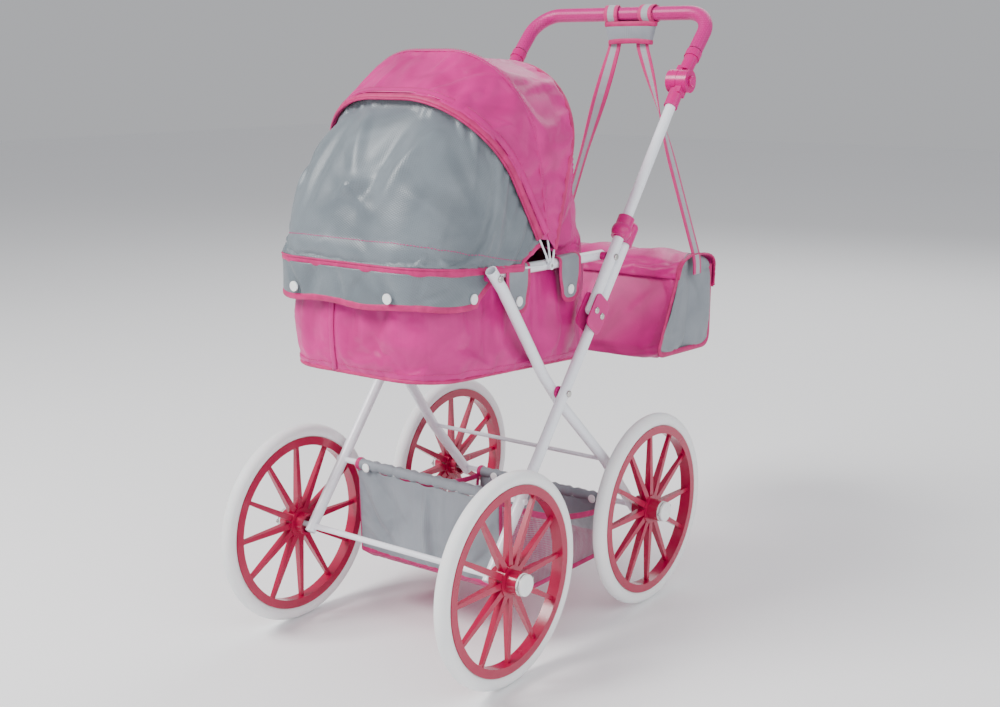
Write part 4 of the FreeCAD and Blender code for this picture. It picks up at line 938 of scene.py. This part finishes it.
def makeBasketSide(label, side, blended):
    half = side * basketShape["half"]

    def netSpot(u, w):
        y, z = basketTop(u)
        low = spotAlong(basketLow, u)
        return mm(half - side * 2.5 * math.sin(math.pi * w) * math.sin(math.pi * u), y + (low.y - y) * w,
                  z + (low.z - z) * w)

    net = clothSheet(f"basket_net_{label}", 88, 38, netSpot, "netYarn")
    strands = net.modifiers.new("strands", "WIREFRAME")
    strands.thickness = 0.0006
    strands.use_even_offset = False
    strands.use_replace = True
    hold(net, None, (), blended)
    trims = {
        "top": ([netSpot(share, 0) for share in evenShares(60)], [-wayZ] * 61),
        "low": ([netSpot(share, 1) for share in evenShares(60)], [wayZ] * 61),
        "front": ([netSpot(0, share) for share in evenShares(20)], [wayY] * 21),
        "rear": ([netSpot(1, share) for share in evenShares(12)], [-wayY] * 13),
    }
    for name, (spots, ways) in trims.items():
        edge = tape(f"basket_net_{label}_{name}", spots, ways, 7.5 if name == "top" else 6.0, 2.0, "pinkTape",
                    lap=0.35)
        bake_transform(edge)


# The bag: a pink wrap with grey ends, a flap, two straps and the pad that gathers them.
bagShape = {"half": 108.5, "topFront": (297.0, 398.0), "lowFront": (243.0, 289.0), "lowRear": (380.0, 284.0),
            "topRear": (381.0, 394.0), "puff": 6.0}
bagRun = softened([Vector((0, *bagShape[key])) for key in ("topFront", "lowFront", "lowRear", "topRear")], 17)
bagMiddle = Vector((0, 322, 340))


bagFolds = (
    (0.06, 0.05, 0.3, 0.25, 9, -2.6), (0.9, 0.05, 0.7, 0.22, 9, -2.6), (0.4, 0.04, 0.46, 0.3, 11, 2.4),
    (0.6, 0.3, 0.66, 0.1, 10, -2.2), (0.2, 0.34, 0.26, 0.12, 10, 2.4), (0.3, 0.9, 0.36, 0.7, 10, -2.2),
    (0.7, 0.92, 0.6, 0.7, 10, 2.2))


def bagWrapSpot(u, w):
    spot = spotAlong(bagRun, w)
    out = (spot - bagMiddle).normalized()
    puff = bagShape["puff"] * math.sin(math.pi * u) ** 0.7 * math.sin(math.pi * w) ** 0.6
    spot = spot + out * puff * (0.35 if spot.z < 300 else 1.0)
    spot = spot + out * folded(bagFolds, u, w, 217, 340) * math.sin(math.pi * w)
    return mm((u - 0.5) * 2 * bagShape["half"], spot.y, spot.z)


def gussetSpot(side, u, w):
    low = Vector((0, *bagShape["lowFront"])).lerp(Vector((0, *bagShape["lowRear"])), u)
    high = Vector((0, *bagShape["topFront"])).lerp(Vector((0, *bagShape["topRear"])), u)
    corner = 10 * (abs(u - 0.5) * 2) ** 5
    spot = low.lerp(high, w) + Vector((0, 0, 16.0 * math.sin(math.pi * u) ** 0.7 * w ** 2))
    spot += Vector((0, -corner * (u - 0.5) * 0.6, corner * (1 - w) ** 3))
    crease = 11.0 * (1 - abs(2 * u - 1)) ** 1.3 * (0.25 + 0.75 * w) - 3.0 * math.sin(math.pi * w) * (
        1 - (1 - abs(2 * u - 1)) ** 2)
    return mm(side * (bagShape["half"] - 0.2 - crease), spot.y, spot.z)


def makeBag():
    wrap = clothSheet("bag_wrap", 90, 110, bagWrapSpot, "pinkNylon")
    settle(wrap, "foot head start end", {"slack": 0.02, "gravity": 0.35, "limit": 6, "bend": 0.4})
    giveThickness(wrap, 1.0)
    hold(wrap, "bag", ["bag_body"])
    for name, side in (("left", 1), ("right", -1)):
        end = clothSheet(f"bag_end_{name}", 36, 30, lambda u, w: gussetSpot(side, u, w), "greyOxford")
        settle(end, "foot head start end", {"slack": 0.03, "gravity": 0.3, "limit": 4, "bend": 0.3})
        giveThickness(end, 0.8)
        hold(end, "bag")
        run = evenly([mm(side * (bagShape["half"] + 0.3), spot.y, spot.z) for spot in bagRun], 90)
        ways = [(mm(side * bagShape["half"], bagMiddle.y, bagMiddle.z) - spot).normalized() for spot in run]
        edge = tape(f"bag_binding_{name}", run, ways, 7.5, 3.2, "pinkTape", lap=0.45)
        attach(edge, "bag")
    makeFlap()
    makeStraps()


flapRun = softened([Vector((0, 289.5, 384.0)), Vector((0, 297.0, 408.0)), Vector((0, 330.0, 419.0)),
                    Vector((0, 368.0, 413.0)), Vector((0, 389.5, 401.0)), Vector((0, 388.0, 364.0))], 14)
flapFolds = (
    (0.08, 0.1, 0.3, 0.7, 9, -2.2), (0.25, 0.2, 0.5, 0.8, 9, 2.2), (0.5, 0.1, 0.62, 0.8, 10, -2.4),
    (0.7, 0.2, 0.84, 0.9, 9, 2.0), (0.92, 0.1, 0.8, 0.6, 8, -2.0))


flapHalf = 110.6


def flapSpot(u, w):
    spot = spotAlong(flapRun, w)
    sag = 5.0 * (2 * u - 1) ** 4 * math.sin(math.pi * min(1, w * 1.3))
    sag -= folded(flapFolds, u, w, 220, 150) * math.sin(math.pi * w)
    return mm((u - 0.5) * 2 * flapHalf, spot.y, spot.z - sag)


def makeFlap():
    flap = clothSheet("bag_flap_cloth", 90, 50, flapSpot, "pinkNylon")
    settle(flap, "foot head start end", {"slack": 0.016, "gravity": 0.3, "limit": 4, "bend": 0.4})
    sides = {side: sideRun(flap, side) for side in ("head", "start", "end")}
    giveThickness(flap, 1.2)
    hold(flap, "bag_flap", ["bag_flap"])
    for side, (spots, inward) in sides.items():
        edge = tape("bag_flap_binding_" + side, spots, inward, 7.0, 3.0, "pinkTape", lap=0.35)
        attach(edge, "bag_flap")


strapShape = {"left": (1, 29.0, 41.0), "right": (-1, -9.0, -15.0), "width": 20.0, "out": 112.4}


def makeStraps():
    for name in ("left", "right"):
        side, padX, barX = strapShape[name]
        out = side * strapShape["out"]
        way = softened([mm(out, 337.0, 386.0), mm(out, 336.0, 406.0), mm(padX, gripBar.y - 1, 687.0),
                        mm(barX, gripBar.y - 2.5, 711.0), mm(barX, gripBar.y - 10.2, 722.0)], 0.012)

        def strapSpot(u, w):
            spot = spotAlong(way, w)
            turn = math.radians(90 * ease((w - 0.42) / 0.5))
            flat = Vector((math.sin(turn) * side * -1, math.cos(turn), 0))
            narrow = 1 - 0.12 * ease((w - 0.75) / 0.2)
            cup = 0.8 * (1 - (2 * u - 1) ** 2)
            return spot + flat * (u - 0.5) * strapShape["width"] * narrow / 1000 + mm(side * cup, 0, 0)

        strap = giveThickness(clothSheet(f"bag_strap_{name}", 14, 120, strapSpot, "boundWebbing"), 1.5)
        hold(strap, "bag", ["bag_straps"])

        def loopTurnSpot(u, w):
            turn = 2 * math.pi * w
            radius = 10.0 + 1.3 * w
            lean = 2.5 * math.sin(turn) * side
            return mm(barX + lean + (u - 0.5) * strapShape["width"], gripBar.y + radius * math.sin(turn),
                      gripBar.z + radius * math.cos(turn))

        wrap = giveThickness(clothSheet(f"bag_strap_loop_{name}", 14, 48, loopTurnSpot, "boundWebbing"),
                             1.4)
        hold(wrap, "bag")
    makePad()


padShape = {"middle": 13.0, "top": 711.0, "foot": 686.5, "topHalf": 38.0, "footHalf": 31.0, "depth": 5.6}


def makePad():
    told = padShape

    def padSpot(u, w, grown=0.0):
        turn = 2 * math.pi * u
        half = told["topHalf"] + (told["footHalf"] - told["topHalf"]) * w + grown
        depth = told["depth"] + 1.2 * math.sin(math.pi * w) + grown
        x = math.copysign(abs(math.sin(turn)) ** 0.7, math.sin(turn)) * half
        y = math.copysign(abs(math.cos(turn)) ** 0.7, math.cos(turn)) * depth
        return mm(told["middle"] + x, gripBar.y - 1 + y, told["top"] + (told["foot"] - told["top"]) * w
                  - 2.0 * math.sin(turn) ** 2 * w)

    pad = giveThickness(clothSheet("strap_pad_sleeve", 64, 14, padSpot, "greyOxford"), 1.8)
    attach(pad, "bag")
    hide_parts("strap_pad")
    for label, w in (("top", 0.06), ("foot", 0.94)):
        spots = [padSpot(at / 64, w, 0.8) for at in range(64)]
        edge = tape(f"strap_pad_binding_{label}", spots, [wayZ] * 64, 7.0, 2.2, "pinkTape", closed=True)
        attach(edge, "bag")


def makeFloor():
    made = bmesh.new()
    bmesh.ops.create_grid(made, x_segments=1, y_segments=1, size=9)
    ground = bpy.data.objects.new("ground", bpy.data.meshes.new("ground"))
    made.to_mesh(ground.data)
    made.free()
    bpy.context.scene.collection.objects.link(ground)
    paper = blank("palePaper")
    place = addNode(paper, "ShaderNodeTexCoord").outputs["Object"]
    driftAndCreaseShade = addNode(paper, "ShaderNodeTexNoise", {"Scale": 0.6}, {"Vector": place})
    tone = addNode(paper, "ShaderNodeMix", {"data_type": "RGBA", 6: toLinear("FBFBFC"), 7: toLinear("F8F8F9")},
                   {0: driftAndCreaseShade.outputs["Fac"]})
    closeWith(paper, {"Roughness": 0.9}, {"Base Color": tone.outputs[2]})
    ground.data.materials.append(paper)
    ground.location.z = -0.0006


print("camera, lamps and floor")
placeCamera()
placeLamps()
makeFloor()
print("finishes on the frame")
finishNodes()
print("hood")
makeHood()
makeCurtain()
print("apron")
makeApron()
print("cot")
makeCot()
makeTabs()
print("basket")
makeBasket()
print("bag")
makeBag()
